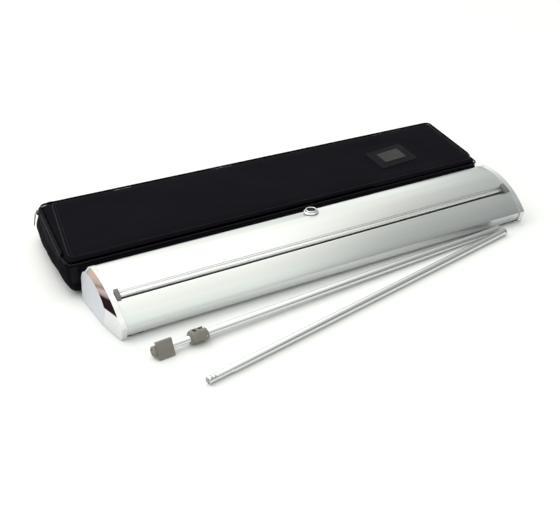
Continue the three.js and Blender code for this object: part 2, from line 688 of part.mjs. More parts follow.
part('bag_tub', buildBagTub(), 'nylon', bag);
part('zip_tape_lower', buildZipTape(BAG_RIM_Z - 3.6, BAG_RIM_Z, 1.8), 'zip', bag);

const lid = new THREE.Group();
bag.add(lid);
part('bag_lid', buildBagLid(), 'nylon', lid);
part('zip_tape_upper', buildZipTape(BAG_RIM_Z + 0.4, BAG_RIM_Z + 2.4, 1.2), 'zip', lid);

// Card pocket with a clear window, sewn on the lid
const POCKET = [[244, 148], [342, 158], [360, 247], [259, 235]];
const pocketTop = BAG_TOP_Z + 1.9;
function plate(corners, radius, z0, z1) {
  return loft([roundedPlan(corners, radius, z0, 2), roundedPlan(corners, radius, z1, 2)]);
}
part('card_pocket', plate(POCKET, 4, BAG_TOP_Z + 0.3, pocketTop), 'webbing', lid);
part('card_window', plate(shrinkPlan(POCKET, 20), 3, pocketTop + 0.3, pocketTop + 0.9), 'clearVinyl', lid);

// Web tab on the front left corner, lying along the leaning front face
const TAB_FOOT = [86.9, 29];
const TAB_HEAD = [94.6, 58.6];
const TAB_THICK = 1.5;
part('corner_tab', extrudeX([
  TAB_FOOT, TAB_HEAD, [TAB_HEAD[0] - TAB_THICK, TAB_HEAD[1]], [TAB_FOOT[0] - TAB_THICK, TAB_FOOT[1]],
], -441, -428), 'webbing', bag);

// Zip sliders with their pull tabs: one runs along the rear edge, one along the left end
function buildSlider() {
  const nosed = [[-6, -2], [-3, -3.6], [5, -3.6], [6, -2.6], [6, 2.6], [5, 3.6], [-3, 3.6], [-6, 2]];
  const bridge = extrudeX([[0.8, -1.5], [0.8, 1.5], [3.4, 1], [3.4, -1]], -4, 3.6);
  const eye = block([-2.4, 1.6, -3], [2.2, 2.6, 3]);
  return cut(join(extrudeY(nosed, -2, 1.6), bridge), eye);
}

function buildPull() {
  const body = roundedPlan([[-2.6, -24], [2.6, -24], [2.6, 0], [-2.6, 0]], 2, 0, 3).map(([x, z]) => [x, z]);
  return extrudeY(body, 0, 1.3);
}

const PULL_LEAN = THREE.MathUtils.degToRad(11); // the pulls lie on the bag's bulging side
const rearDirection = new THREE.Vector2(BAG_RIM[2][0] - BAG_RIM[3][0], BAG_RIM[2][1] - BAG_RIM[3][1]);
const leftDirection = new THREE.Vector2(BAG_RIM[0][0] - BAG_RIM[3][0], BAG_RIM[0][1] - BAG_RIM[3][1]);
const rearSlider = new THREE.Group();
const leftSlider = new THREE.Group();
bag.add(rearSlider, leftSlider);

function placeSlider(group, direction, side, label) {
  const corner = new THREE.Vector2(...BAG_RIM[3]);
  const along = direction.clone().normalize();
  const out = new THREE.Vector2(-along.y, along.x).multiplyScalar(side);
  const spot = corner.addScaledVector(along, 24).addScaledVector(out, 5.6);
  group.position.set(spot.x, spot.y, BAG_RIM_Z);
  group.rotation.z = Math.atan2(out.y, out.x) - Math.PI / 2;
  part(`zip_slider_${label}`, buildSlider(), 'zip', group);
  const pull = part(`zip_pull_${label}`, buildPull(), 'pull', group);
  pull.position.set(0, 3.8, -1);
  pull.rotation.x = PULL_LEAN;
}

placeSlider(rearSlider, rearDirection, 1, 'rear');
placeSlider(leftSlider, leftDirection, -1, 'left');

// ---------------------------------------------------------------- origin

// The whole kit is moved so that its floor area is centred on the origin
const span = new THREE.Box3().setFromObject(kit, true);
kit.position.set(-(span.min.x + span.max.x) / 2, -(span.min.y + span.max.y) / 2, -span.min.z);

const group = new THREE.Group();
group.add(kit);

export default group;
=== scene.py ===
# Roll-up banner stand kit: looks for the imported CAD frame.
# Metres, +Z up, +X along the base, +Y to the rear.
import json
import math

import bpy
import numpy as np
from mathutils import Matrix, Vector, noise
from mathutils.bvhtree import BVHTree


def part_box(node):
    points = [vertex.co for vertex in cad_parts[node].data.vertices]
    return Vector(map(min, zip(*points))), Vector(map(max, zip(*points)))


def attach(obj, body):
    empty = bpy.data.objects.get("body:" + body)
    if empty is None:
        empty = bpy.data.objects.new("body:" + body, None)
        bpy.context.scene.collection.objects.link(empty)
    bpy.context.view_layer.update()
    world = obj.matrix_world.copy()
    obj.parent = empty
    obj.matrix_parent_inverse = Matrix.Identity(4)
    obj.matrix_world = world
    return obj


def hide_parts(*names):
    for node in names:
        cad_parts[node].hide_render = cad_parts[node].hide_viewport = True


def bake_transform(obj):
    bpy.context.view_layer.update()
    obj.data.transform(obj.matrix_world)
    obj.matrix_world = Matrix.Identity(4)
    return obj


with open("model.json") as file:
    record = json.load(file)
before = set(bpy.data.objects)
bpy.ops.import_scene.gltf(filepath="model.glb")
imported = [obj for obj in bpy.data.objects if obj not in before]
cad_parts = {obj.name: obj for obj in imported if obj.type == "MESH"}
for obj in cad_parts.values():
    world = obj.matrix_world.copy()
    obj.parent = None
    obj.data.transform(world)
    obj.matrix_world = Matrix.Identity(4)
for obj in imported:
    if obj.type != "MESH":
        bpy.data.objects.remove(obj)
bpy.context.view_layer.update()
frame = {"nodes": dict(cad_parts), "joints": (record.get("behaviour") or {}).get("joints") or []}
nodes = frame["nodes"]
joints = {j["name"]: j for j in frame["joints"]}
MM = 0.001

# ---------------------------------------------------------------- places taken from the frame

casing_low, casing_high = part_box("casing")
cap_low, cap_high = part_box("end_cap_left")
REAR_WALL_Y = 84 * MM  # the end caps' rear foot, from the base's own centre line
base_x = (casing_low.x + casing_high.x) / 2
base_y = cap_high.y - REAR_WALL_Y


def axis_of(name):
    return Vector(joints[name]["axis"]).normalized()


# ---------------------------------------------------------------- camera

CAMERA_FROM_BASE = Vector((-844.8, -1267.7, 809.6)) * MM
CAMERA_AZIMUTH = -30.81
CAMERA_ELEVATION = 27.85
LENS = 60.41

camera_data = bpy.data.cameras.new("camera")
camera = bpy.data.objects.new("camera", camera_data)
bpy.context.scene.collection.objects.link(camera)
camera_data.sensor_width = 36
camera_data.sensor_fit = "HORIZONTAL"
camera_data.lens = LENS
camera.location = Vector((base_x, base_y, 0)) + CAMERA_FROM_BASE
camera.rotation_euler = (math.radians(90 - CAMERA_ELEVATION), 0, math.radians(CAMERA_AZIMUTH))
camera_data.clip_end = 50
bpy.context.scene.camera = camera

# ---------------------------------------------------------------- material helpers


class Nodes:
    """A material's node tree with short ways to add and link nodes."""

    def __init__(self, name):
        self.material = bpy.data.materials.new(name)
        self.material.use_nodes = True
        self.tree = self.material.node_tree
        self.shader = self.tree.nodes["Principled BSDF"]
        self.place = self.tree.nodes.new("ShaderNodeTexCoord")

    def add(self, kind, **values):
        node = self.tree.nodes.new(kind)
        for key, value in values.items():
            setattr(node, key, value)
        return node

    def link(self, source, target):
        self.tree.links.new(source, target)

    def scaled(self, scale, rotation=(0, 0, 0)):
        """Object coordinates, turned back by a rotation and then scaled along each axis."""
        mapping = self.add("ShaderNodeMapping", vector_type="TEXTURE")
        mapping.inputs["Scale"].default_value = [1 / s for s in scale]
        mapping.inputs["Rotation"].default_value = rotation
        self.link(self.place.outputs["Object"], mapping.inputs["Vector"])
        return mapping.outputs["Vector"]

    def noise(self, scale, stretch=(1, 1, 1), detail=3.0, rough=0.5, rotation=(0, 0, 0)):
        texture = self.add("ShaderNodeTexNoise")
        texture.inputs["Scale"].default_value = scale
        texture.inputs["Detail"].default_value = detail
        texture.inputs["Roughness"].default_value = rough
        self.link(self.scaled(stretch, rotation), texture.inputs["Vector"])
        return texture.outputs["Fac"]

    def ramp(self, fac, stops):
        """A colour or grey ramp; stops are (position, value or colour)."""
        ramp = self.add("ShaderNodeValToRGB")
        elements = ramp.color_ramp.elements
        while len(elements) < len(stops):
            elements.new(0.5)
        for element, (position, value) in zip(elements, stops):
            element.position = position
            colour = value if hasattr(value, "__len__") else (value, value, value)
            element.color = (*colour[:3], 1)
        self.link(fac, ramp.inputs["Fac"])
        return ramp.outputs["Color"]

    def math(self, operation, a, b=None, c=None):
        node = self.add("ShaderNodeMath", operation=operation)
        for socket, value in zip(node.inputs, (a, b, c)):
            if value is None:
                continue
            if isinstance(value, (int, float)):
                socket.default_value = value
            else:
                self.link(value, socket)
        return node.outputs[0]

    def choose(self, switch, yes, no):
        """yes where switch is 1 and no where it is 0."""
        return self.math("ADD", self.math("MULTIPLY", switch, self.math("SUBTRACT", yes, no)), no)

    def mix(self, fac, a, b):
        node = self.add("ShaderNodeMix", data_type="RGBA", blend_type="MIX")
        for socket, value in ((node.inputs[0], fac), (node.inputs[6], a), (node.inputs[7], b)):
            if isinstance(value, (int, float)):
                socket.default_value = value
            elif isinstance(value, tuple):
                socket.default_value = (*value[:3], 1)
            else:
                self.link(value, socket)
        return node.outputs[2]

    def bump(self, height, distance, strength=1.0, below=None):
        node = self.add("ShaderNodeBump")
        node.inputs["Strength"].default_value = strength
        node.inputs["Distance"].default_value = distance
        self.link(height, node.inputs["Height"])
        if below is not None:
            self.link(below, node.inputs["Normal"])
        return node.outputs["Normal"]

    def set(self, **values):
        for key, value in values.items():
            socket = self.shader.inputs[key.replace("_", " ")]
            if isinstance(value, (int, float)):
                socket.default_value = value
            elif isinstance(value, tuple):
                socket.default_value = (*value[:3], 1)
            else:
                self.link(value, socket)
        return self.material

    def edge_wear(self, distance):
        """0 on flat ground, rising towards 1 on worn edges."""
        bevel = self.add("ShaderNodeBevel", samples=4)
        bevel.inputs["Radius"].default_value = distance
        geometry = self.add("ShaderNodeNewGeometry")
        dot = self.add("ShaderNodeVectorMath", operation="DOT_PRODUCT")
        self.link(bevel.outputs["Normal"], dot.inputs[0])
        self.link(geometry.outputs["Normal"], dot.inputs[1])
        return self.math("MULTIPLY", self.math("SUBTRACT", 1.0, dot.outputs["Value"]), 6.0)


DRAWN_LINE_DEPTH = 0.01 * MM
# painted shade: the dark tone that stands for the shadow gap behind the top rail's rear jaw
PAINTED_SHADE_TONE = (0.1, 0.1, 0.1)


def brushed_metal(name, base, dark, rough, direction=0.0, lines=900, painted_shade_y=None):
    """Metal drawn along X, turned about Z by direction; if a y is given for the painted shade, the metal
    behind it gets a painted shade along its edge, standing for a shadow gap.
    """
    m = Nodes(name)
    turn = (0, 0, direction)
    fine = m.noise(lines, (0.012, 1, 1), 2, 0.6, turn)
    broad = m.noise(60, (0.02, 1, 1), 2, 0.5, turn)
    smear = m.noise(7, (1, 1, 1), 4, 0.55)
    tone = m.mix(m.ramp(broad, [(0.3, 0.0), (0.7, 1.0)]), dark, base)
    tone = m.mix(m.ramp(smear, [(0.35, 0.0), (0.75, 0.25)]), tone, tuple(0.9 * c for c in base))
    # painted shade: beyond the given y the metal is painted dark, for the shadow gap there
    if painted_shade_y is not None:
        across = m.add("ShaderNodeSeparateXYZ")
        m.link(m.place.outputs["Object"], across.inputs[0])
        tone = m.mix(m.math("GREATER_THAN", across.outputs[1], painted_shade_y), tone, PAINTED_SHADE_TONE)
    roughness = m.math("ADD", rough - 0.05, m.math("MULTIPLY", fine, 0.1))
    normal = m.bump(fine, DRAWN_LINE_DEPTH, 0.5, m.bump(smear, 3 * DRAWN_LINE_DEPTH, 0.25))
    return m.set(Base_Color=tone, Metallic=1.0, Roughness=roughness, Normal=normal)


def polished_metal(name, base, rough, satin=None):
    """Plated metal with a faint haze, handling marks and uneven plating.

    satin, if given, is the colour of faces that look straight along X, which are brushed, not polished.
    """
    m = Nodes(name)
    haze = m.noise(28, (1, 1, 1), 5, 0.6)
    marks = m.noise(420, (1, 0.12, 1), 2, 0.5, (0.3, 0.2, 0.7))
    roughness = m.math("ADD", rough, m.math("MULTIPLY", m.ramp(haze, [(0.45, 0.0), (0.8, 1.0)]), 0.05))
    tone = m.mix(m.ramp(haze, [(0.4, 0.0), (0.8, 1.0)]), base, tuple(0.94 * c for c in base))
    normal = m.bump(marks, 0.000004, 0.35, m.bump(m.noise(9, (1, 1, 1), 2), 0.00012, 0.18))
    if satin is None:
        return m.set(Base_Color=tone, Metallic=1.0, Roughness=roughness, Normal=normal)
    facing = m.add("ShaderNodeSeparateXYZ")
    m.link(m.add("ShaderNodeNewGeometry").outputs["Normal"], facing.inputs[0])
    across = m.math("ABSOLUTE", facing.outputs[0])
    flat = m.ramp(across, [(0.993, 0.0), (0.998, 1.0)])
    brushed = m.noise(500, (1, 1, 0.03), 2, 0.6)
    satin_rough = m.math("ADD", 0.36, m.math("MULTIPLY", brushed, 0.12))
    satin_tone = m.mix(m.ramp(haze, [(0.4, 0.0), (0.8, 1.0)]), satin, tuple(0.95 * c for c in satin))
    return m.set(
        Base_Color=m.mix(flat, tone, satin_tone), Roughness=m.choose(flat, satin_rough, roughness),
        Metallic=m.math("SUBTRACT", 1.0, m.math("MULTIPLY", flat, 0.65)), Normal=normal,
    )


def moulded_plastic(name, base, light, rough, grain=1400, wear=0.35):
    """Moulded plastic with fine spark-eroded grain, colour drift and rubbed edges."""
    m = Nodes(name)
    grains = m.noise(grain, (1, 1, 1), 2, 0.6)
    drift = m.noise(40, (1, 1, 1), 3, 0.6)
    tone = m.mix(m.ramp(drift, [(0.3, 0.0), (0.75, 1.0)]), base, light)
    worn = m.math("MULTIPLY", m.edge_wear(0.0008), wear)
    tone = m.mix(worn, tone, tuple(min(1.0, 1.6 * c + 0.02) for c in light))
    roughness = m.math("ADD", rough, m.math("MULTIPLY", grains, 0.12))
    normal = m.bump(grains, 0.00006, 0.5, m.bump(drift, 0.0002, 0.2))
    return m.set(Base_Color=tone, Roughness=roughness, Normal=normal)


def woven(name, base, light, pitch, depth, rough, gloss, dust=0.3):
    """Plain-woven cloth: threads over and under in both directions, whichever way the surface faces."""
    m = Nodes(name)
    geometry = m.add("ShaderNodeNewGeometry")
    facing = m.add("ShaderNodeSeparateXYZ")
    absolute = m.add("ShaderNodeVectorMath", operation="ABSOLUTE")
    m.link(geometry.outputs["Normal"], absolute.inputs[0])
    m.link(absolute.outputs[0], facing.inputs[0])
    place = m.add("ShaderNodeSeparateXYZ")
    m.link(m.scaled((1, 1, 1)), place.inputs[0])
    x, y, z = (place.outputs[i] for i in range(3))
    top = m.math("GREATER_THAN", facing.outputs[2], 0.7)
    end = m.math("GREATER_THAN", facing.outputs[0], facing.outputs[1])
    along = m.choose(top, x, m.choose(end, y, x))
    up = m.choose(top, y, z)
    rate = math.pi / pitch
    warp = m.math("SINE", m.math("MULTIPLY", along, rate))
    weft = m.math("SINE", m.math("MULTIPLY", up, rate))
    over = m.math("MULTIPLY", warp, weft)
    weave = m.math("ADD", m.math("MULTIPLY", over, 0.5), 0.5)
    uneven = m.noise(260, (1, 1, 1), 2, 0.6)
    drift = m.noise(11, (1, 1, 1), 4, 0.6)
    tone = m.mix(weave, base, light)
    dusty = m.ramp(drift, [(0.45, 0.0), (0.85, dust)])
    tone = m.mix(dusty, tone, tuple(min(1.0, 1.7 * c + 0.01) for c in light))
    roughness = m.math("ADD", rough - 0.06, m.math("MULTIPLY", uneven, 0.12))
    normal = m.bump(weave, depth, 0.7, m.bump(uneven, depth * 1.5, 0.25))
    m.shader.inputs["Specular IOR Level"].default_value = gloss
    return m.set(Base_Color=tone, Roughness=roughness, Normal=normal)


def soft_film(name, base, rough):
    """Blank banner film: matt coated white with faint roller lines."""
    m = Nodes(name)
    lines = m.noise(300, (0.02, 1, 1), 2, 0.5)
    cloud = m.noise(14, (1, 1, 1), 3, 0.5)
    tone = m.mix(m.ramp(cloud, [(0.3, 0.0), (0.8, 1.0)]), base, tuple(0.95 * c for c in base))
    return m.set(
        Base_Color=tone, Roughness=m.math("ADD", rough, m.math("MULTIPLY", lines, 0.08)),
        Normal=m.bump(lines, 0.00002, 0.3),
    )


POLE_TURN = math.atan2(-axis_of("inner_extend").y, -axis_of("inner_extend").x)
POLE_WIDE = 14 * MM
POLE_END_SLANT = 2 * MM  # the lower pole's box is this much longer than its axis
lower_low, lower_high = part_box("lower_tube")
LOWER_TURN = math.atan2(
    lower_high.y - lower_low.y - POLE_WIDE, lower_high.x - lower_low.x - POLE_END_SLANT,
)

ALUMINIUM = brushed_metal("anodised_aluminium", (0.745, 0.76, 0.745), (0.685, 0.7, 0.69), 0.3)
PAINTED_SHADE_WIDE = 1.2 * MM  # painted shade along the rear edge of the top rail, for the shadow gap between the rail and the casing
# painted shade: the rear jaw's aluminium is painted dark along its rear edge
REAR_RAIL_PAINTED_SHADE_METAL = brushed_metal(
    "rear_rail_aluminium_painted_shade", (0.8, 0.81, 0.8), (0.72, 0.73, 0.725), 0.27,
    painted_shade_y=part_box("rail_rear_jaw")[1].y - PAINTED_SHADE_WIDE,
)
RAIL_METAL = brushed_metal("rail_aluminium", (0.8, 0.81, 0.8), (0.72, 0.73, 0.725), 0.27)
POLE_METAL = brushed_metal(
    "upper_pole_aluminium", (0.78, 0.79, 0.79), (0.72, 0.73, 0.73), 0.24, POLE_TURN,
)
LOWER_METAL = brushed_metal(
    "lower_pole_aluminium", (0.77, 0.78, 0.78), (0.71, 0.72, 0.72), 0.24, LOWER_TURN,
)
CHROME = polished_metal("chrome_plating", (0.7, 0.71, 0.74), 0.035)
CAP_CHROME = polished_metal("cap_chrome", (0.76, 0.77, 0.78), 0.035, (0.66, 0.675, 0.72))
STEEL = brushed_metal("zinc_plated_steel", (0.55, 0.56, 0.57), (0.45, 0.46, 0.47), 0.36, lines=500)
SPRING_STEEL = brushed_metal("spring_steel", (0.3, 0.31, 0.33), (0.2, 0.21, 0.22), 0.35, lines=500)
HEAD_PLASTIC = moulded_plastic("grey_brown_plastic", (0.2, 0.185, 0.162), (0.24, 0.22, 0.195), 0.5)
CAP_PLASTIC = moulded_plastic("rail_cap_plastic", (0.17, 0.16, 0.15), (0.21, 0.2, 0.19), 0.45)
DARK_PLASTIC = moulded_plastic("black_plastic", (0.02, 0.02, 0.022), (0.032, 0.032, 0.034), 0.5)
RUBBER = moulded_plastic("foot_rubber", (0.016, 0.016, 0.016), (0.03, 0.03, 0.03), 0.75, 700, 0.15)
FELT = woven("wiper_felt", (0.016, 0.016, 0.018), (0.03, 0.03, 0.032), 0.0004, 0.0002, 0.95, 0.05)
FILM = soft_film("banner_film", (0.86, 0.86, 0.85), 0.5)
NYLON = woven(
    "bag_nylon", (0.0042, 0.0036, 0.0056), (0.0078, 0.0067, 0.0102), 0.00085, 0.00012, 0.75, 0.012, 0.1,
)
WEBBING = woven("webbing", (0.0075, 0.0073, 0.009), (0.0135, 0.013, 0.016), 0.0016, 0.0004, 0.75, 0.03, 0.2)
PIPING = woven("piping", (0.0042, 0.004, 0.005), (0.009, 0.0085, 0.011), 0.0008, 0.0002, 0.5, 0.08, 0.2)
TAPE = woven("zip_tape", (0.004, 0.004, 0.005), (0.0085, 0.0085, 0.01), 0.0006, 0.0002, 0.7, 0.04, 0.2)
THREAD = woven("thread", (0.006, 0.006, 0.0075), (0.014, 0.014, 0.017), 0.0005, 0.0002, 0.55, 0.1, 0.2)
PULL_METAL = moulded_plastic(
    "black_zip_metal", (0.012, 0.012, 0.013), (0.02, 0.02, 0.022), 0.32, 900, 0.5,
)


# ---------------------------------------------------------------- rigid CAD nodes

DECIMATE_ANGLE = math.radians(0.3)
SHARP_ANGLE = math.radians(28)
CAP_SHARP_ANGLE = math.radians(6.5)  # the end caps' flat faces meet their bevels at a shallow angle
WELD_DISTANCE = 0.01 * MM


def sharp_edges_group(sharp_angle):
    """Geometry nodes that keep the edges sharper than an angle and shade the rest smooth."""
    group = bpy.data.node_groups.new("sharp_edges", "GeometryNodeTree")
    group.interface.new_socket("Geometry", in_out="INPUT", socket_type="NodeSocketGeometry")
    group.interface.new_socket("Geometry", in_out="OUTPUT", socket_type="NodeSocketGeometry")
    start = group.nodes.new("NodeGroupInput")
    end = group.nodes.new("NodeGroupOutput")
    angle = group.nodes.new("GeometryNodeInputMeshEdgeAngle")
    compare = group.nodes.new("FunctionNodeCompare")
    compare.operation = "LESS_THAN"
    compare.inputs[1].default_value = sharp_angle
    faces = group.nodes.new("GeometryNodeSetShadeSmooth")
    faces.domain = "FACE"
    edges = group.nodes.new("GeometryNodeSetShadeSmooth")
    edges.domain = "EDGE"
    link = group.links.new
    link(start.outputs[0], faces.inputs["Geometry"])
    link(faces.outputs[0], edges.inputs["Geometry"])
    link(angle.outputs["Unsigned Angle"], compare.inputs[0])
    link(compare.outputs[0], edges.inputs["Shade Smooth"])
    link(edges.outputs[0], end.inputs[0])
    return group


SHARP_EDGES = sharp_edges_group(SHARP_ANGLE)
CAP_EDGES = sharp_edges_group(CAP_SHARP_ANGLE)


def dress(node, material, edge=0.4, segments=2):
    """Gives a CAD node its material and rounds its sharp edges by edge millimetres."""
    piece = nodes[node]
    mesh = piece.data
    custom = mesh.attributes.get("custom_normal")
    if custom is not None:
        mesh.attributes.remove(custom)
    mesh.materials.clear()
    mesh.materials.append(material)
    weld = piece.modifiers.new("weld", "WELD")
    weld.merge_threshold = WELD_DISTANCE
    flat = piece.modifiers.new("flat", "DECIMATE")
    flat.decimate_type = "DISSOLVE"
    flat.angle_limit = DECIMATE_ANGLE
    if edge:
        bevel = piece.modifiers.new("edges", "BEVEL")
        bevel.width = edge * MM
        bevel.segments = segments
        bevel.limit_method = "ANGLE"
        bevel.angle_limit = SHARP_ANGLE
        bevel.use_clamp_overlap = True
        bevel.miter_outer = "MITER_ARC"
    shade = piece.modifiers.new("shade", "NODES")
    shade.node_group = CAP_EDGES if node.startswith("end_cap_") else SHARP_EDGES


LOOKS = {
    "casing": (ALUMINIUM, 0.35),
    "end_cap_left": (CAP_CHROME, 0.5),
    "end_cap_right": (CAP_CHROME, 0.5),
    "socket_ring": (CHROME, 0.25),
    "rail_front_jaw": (RAIL_METAL, 0.2),
    "rail_rear_jaw": (REAR_RAIL_PAINTED_SHADE_METAL, 0.2),
    "rail_cap_left": (CAP_PLASTIC, 0.5),
    "rail_cap_right": (CAP_PLASTIC, 0.5),
    "roller_tube": (ALUMINIUM, 0.2),
    "banner_roll": (FILM, 0),
    "upper_tube": (POLE_METAL, 0.2),
    "inner_tube": (POLE_METAL, 0.2),
    "lower_tube": (LOWER_METAL, 0.15),
    "lower_plug": (DARK_PLASTIC, 0.3),
    "lock_collar": (HEAD_PLASTIC, 0.35),
    "lock_lever": (HEAD_PLASTIC, 0.35),
    "head_block": (HEAD_PLASTIC, 0.35),
    "head_boss": (HEAD_PLASTIC, 0.35),
    "torsion_spring": (SPRING_STEEL, 0),
    "zip_slider_rear": (PULL_METAL, 0.5),
    "zip_slider_left": (PULL_METAL, 0.5),
    "zip_pull_rear": (PULL_METAL, 0.3),
    "zip_pull_left": (PULL_METAL, 0.3),
    "roller_plug_left": (DARK_PLASTIC, 0.3),
    "roller_plug_right": (DARK_PLASTIC, 0.3),
}
SOFT_NODES = {
    "bag_tub", "bag_lid", "zip_tape_lower", "zip_tape_upper", "card_pocket", "card_window", "corner_tab",
    "banner_web", "wiper_felt",
}
for node in nodes:
    if node in SOFT_NODES:
        continue
    if node.startswith("foot_"):
        dress(node, RUBBER, 0.4)
    elif node in LOOKS:
        dress(node, *LOOKS[node])
    else:
        dress(node, STEEL, 0.2)

# ---------------------------------------------------------------- helpers for made pieces


def new_object(name, mesh, material):
    mesh.materials.clear()
    mesh.materials.append(material)
    mesh.shade_smooth()
    piece = bpy.data.objects.new(name, mesh)
    bpy.context.scene.collection.objects.link(piece)
    return piece


def mesh_from(name, points, faces):
    mesh = bpy.data.meshes.new(name)
    mesh.from_pydata([tuple(p) for p in points], [], faces)
    mesh.update()
    return mesh


def applied(piece):
    """The piece's own mesh is replaced by what its modifiers make of it."""
    evaluated = piece.evaluated_get(bpy.context.evaluated_depsgraph_get())
    mesh = bpy.data.meshes.new_from_object(evaluated)
    piece.modifiers.clear()
    old = piece.data
    piece.data = mesh
    mesh.name = piece.name
    bpy.data.meshes.remove(old)
    return piece


def coordinates(piece):
    co = np.empty(len(piece.data.vertices) * 3, np.float32)
    piece.data.vertices.foreach_get("co", co)
    return co.reshape(-1, 3).astype(float)


def set_coordinates(piece, co):
    piece.data.vertices.foreach_set("co", co.astype(np.float32).ravel())
    piece.data.update()


def smooth_step(t):
    t = np.clip(t, 0, 1)
    return t * t * (3 - 2 * t)


def wave(points, scale, seed):
    """Smooth noise from -1 to 1 at each point."""
    shift = Vector((seed * 7.1, seed * 3.7, seed * 1.9))
    return np.array([noise.noise(Vector(p) / scale + shift) for p in points])


def outline_at(node, height, reach):
    """The outer outline of a CAD node's own ring of points at one height, as a closed list of (x, y)."""
    co = np.array([v.co for v in nodes[node].data.vertices])
    ring = np.unique(np.round(co[np.abs(co[:, 2] - height) < reach][:, :2], 6), axis=0)
    middle = (ring.min(0) + ring.max(0)) / 2
    turn = np.arctan2(*((ring - middle) / (ring.max(0) - ring.min(0))).T[::-1])
    return ring[np.argsort(turn)]


def even_path(points, step, closed):
    """The polyline's points again, one every step or so."""
    points = np.asarray(points, float)
    if closed:
        points = np.vstack([points, points[:1]])
    lengths = np.r_[0, np.cumsum(np.linalg.norm(np.diff(points, axis=0), axis=1))]
    count = max(2, round(lengths[-1] / step))
    at = np.linspace(0, lengths[-1], count + 1)
    if closed:
        at = at[:-1]
    return np.stack([np.interp(at, lengths, points[:, i]) for i in range(points.shape[1])], 1)


def tangents(path, closed):
    if closed:
        along = np.roll(path, -1, 0) - np.roll(path, 1, 0)
    else:
        along = np.gradient(path, axis=0)
    return along / np.linalg.norm(along, axis=1)[:, None]


def outward(path, closed):
    """The level direction out of a path that runs anticlockwise, at each point."""
    along = tangents(path, closed)
    out = np.stack([along[:, 1], -along[:, 0], np.zeros(len(path))], 1)
    return out / np.linalg.norm(out, axis=1)[:, None]


def sweep(name, path, out, up, section, closed):
    """A tube of any section, given as (out, up) from the path; a tube that isn't closed is capped."""
    count = len(section)
    points = []
    for p, o, u in zip(path, out, up):
        points += [p + o * a + u * b for a, b in section]
    faces = []
    rings = len(path)
    for i in range(rings if closed else rings - 1):
        j = (i + 1) % rings
        for k in range(count):
            m = (k + 1) % count
            faces.append((i * count + k, j * count + k, j * count + m, i * count + m))
    if not closed:
        faces.append(tuple(range(count)))
        faces.append(tuple(reversed(range((rings - 1) * count, rings * count))))
    return mesh_from(name, points, faces)


def round_section(radius, sides=8):
    turns = [2 * math.pi * i / sides for i in range(sides)]
    return [(radius * math.cos(t), radius * math.sin(t)) for t in turns]


def upwards(count):
    return np.tile((0.0, 0.0, 1.0), (count, 1))


def grains(name, places, directions, ups, size, sides=6):
    """Many short rounded capsules, each at a place and along a direction; size is length, width, height."""
    length, width, height = size
    ring = [(math.cos(2 * math.pi * i / sides), math.sin(2 * math.pi * i / sides)) for i in range(sides)]
    rows = [(-0.5, 0.0), (-0.4, 0.6), (-0.15, 1.0), (0.15, 1.0), (0.4, 0.6), (0.5, 0.0)]
    points, faces = [], []
    for place, along, up in zip(places, directions, ups):
        side = np.cross(along, up)
        start = len(points)
        for t, grow in rows[1:-1]:
            for c, s in ring:
                off_axis = side * (c * width / 2 * grow) + up * (s * height / 2 * grow)
                points.append(place + along * (t * length) + off_axis)
        tips = [place + along * (rows[0][0] * length), place + along * (rows[-1][0] * length)]
        points += tips
        inner = len(rows) - 2
        for r in range(inner - 1):
            for k in range(sides):
                m = (k + 1) % sides
                a, b = start + r * sides, start + (r + 1) * sides
                faces.append((a + k, a + m, b + m, b + k))
        first, last = start + inner * sides, start + inner * sides + 1
        for k in range(sides):
            m = (k + 1) % sides
            faces.append((start + m, start + k, first))
            end = start + (inner - 1) * sides
            faces.append((end + k, end + m, last))
    return mesh_from(name, points, faces)


# ---------------------------------------------------------------- cloth for the padded bag


def cloth_piece(name, node, material, voxel, shape, pinned, pressure, grow, cap, frames=20):
    """A padded cloth piece made from a CAD node: remeshed, sagged by shape() and simulated with pressure.

    pinned gives each point's pin weight, grow is how much more cloth there is than the shape needs, and
    cap is the furthest that a point may move.
    """
    mesh = nodes[node].data.copy()
    mesh.name = name
    piece = new_object(name, mesh, material)
    weld = piece.modifiers.new("weld", "WELD")
    weld.merge_threshold = WELD_DISTANCE
    remesh = piece.modifiers.new("remesh", "REMESH")
    remesh.mode = "VOXEL"
    remesh.voxel_size = voxel
    applied(piece)
    rest = shape(coordinates(piece))
    set_coordinates(piece, rest)
    weights = pinned(rest)
    group = piece.vertex_groups.new(name="pin")
    for i, weight in enumerate(weights):
        if weight > 0.01:
            group.add([i], float(weight), "REPLACE")
    cloth = piece.modifiers.new("cloth", "CLOTH")
    settings = cloth.settings
    settings.quality = 6
    settings.mass = 0.25
    settings.tension_stiffness = settings.compression_stiffness = 18
    settings.shear_stiffness = 9
    settings.bending_stiffness = 0.35
    settings.tension_damping = settings.compression_damping = settings.shear_damping = 12
    settings.air_damping = 4
    settings.use_pressure = True
    settings.uniform_pressure_force = pressure
    settings.shrink_min = -grow
    settings.vertex_group_mass = "pin"
    settings.pin_stiffness = 4
    settings.effector_weights.gravity = 0
    cloth.collision_settings.use_collision = False
    cloth.collision_settings.use_self_collision = False
    scene = bpy.context.scene
    for number in range(1, frames + 1):
        scene.frame_set(number)
    applied(piece)
    scene.frame_set(1)
    moved = coordinates(piece)
    step = moved - rest
    length = np.linalg.norm(step, axis=1)
    share = cap * np.tanh(length / cap) / np.maximum(length, 1e-9)
    set_coordinates(piece, rest + step * share[:, None])
    piece.data.materials.clear()
    piece.data.materials.append(material)
    piece.data.shade_smooth()
    smooth = piece.modifiers.new("smooth", "CORRECTIVE_SMOOTH")
    smooth.factor = 0.5
    smooth.iterations = 4
    smooth.use_only_smooth = True
    smooth.rest_source = "ORCO"
    fine = piece.modifiers.new("fine", "SUBSURF")
    fine.levels = fine.render_levels = 1
    return applied(piece)


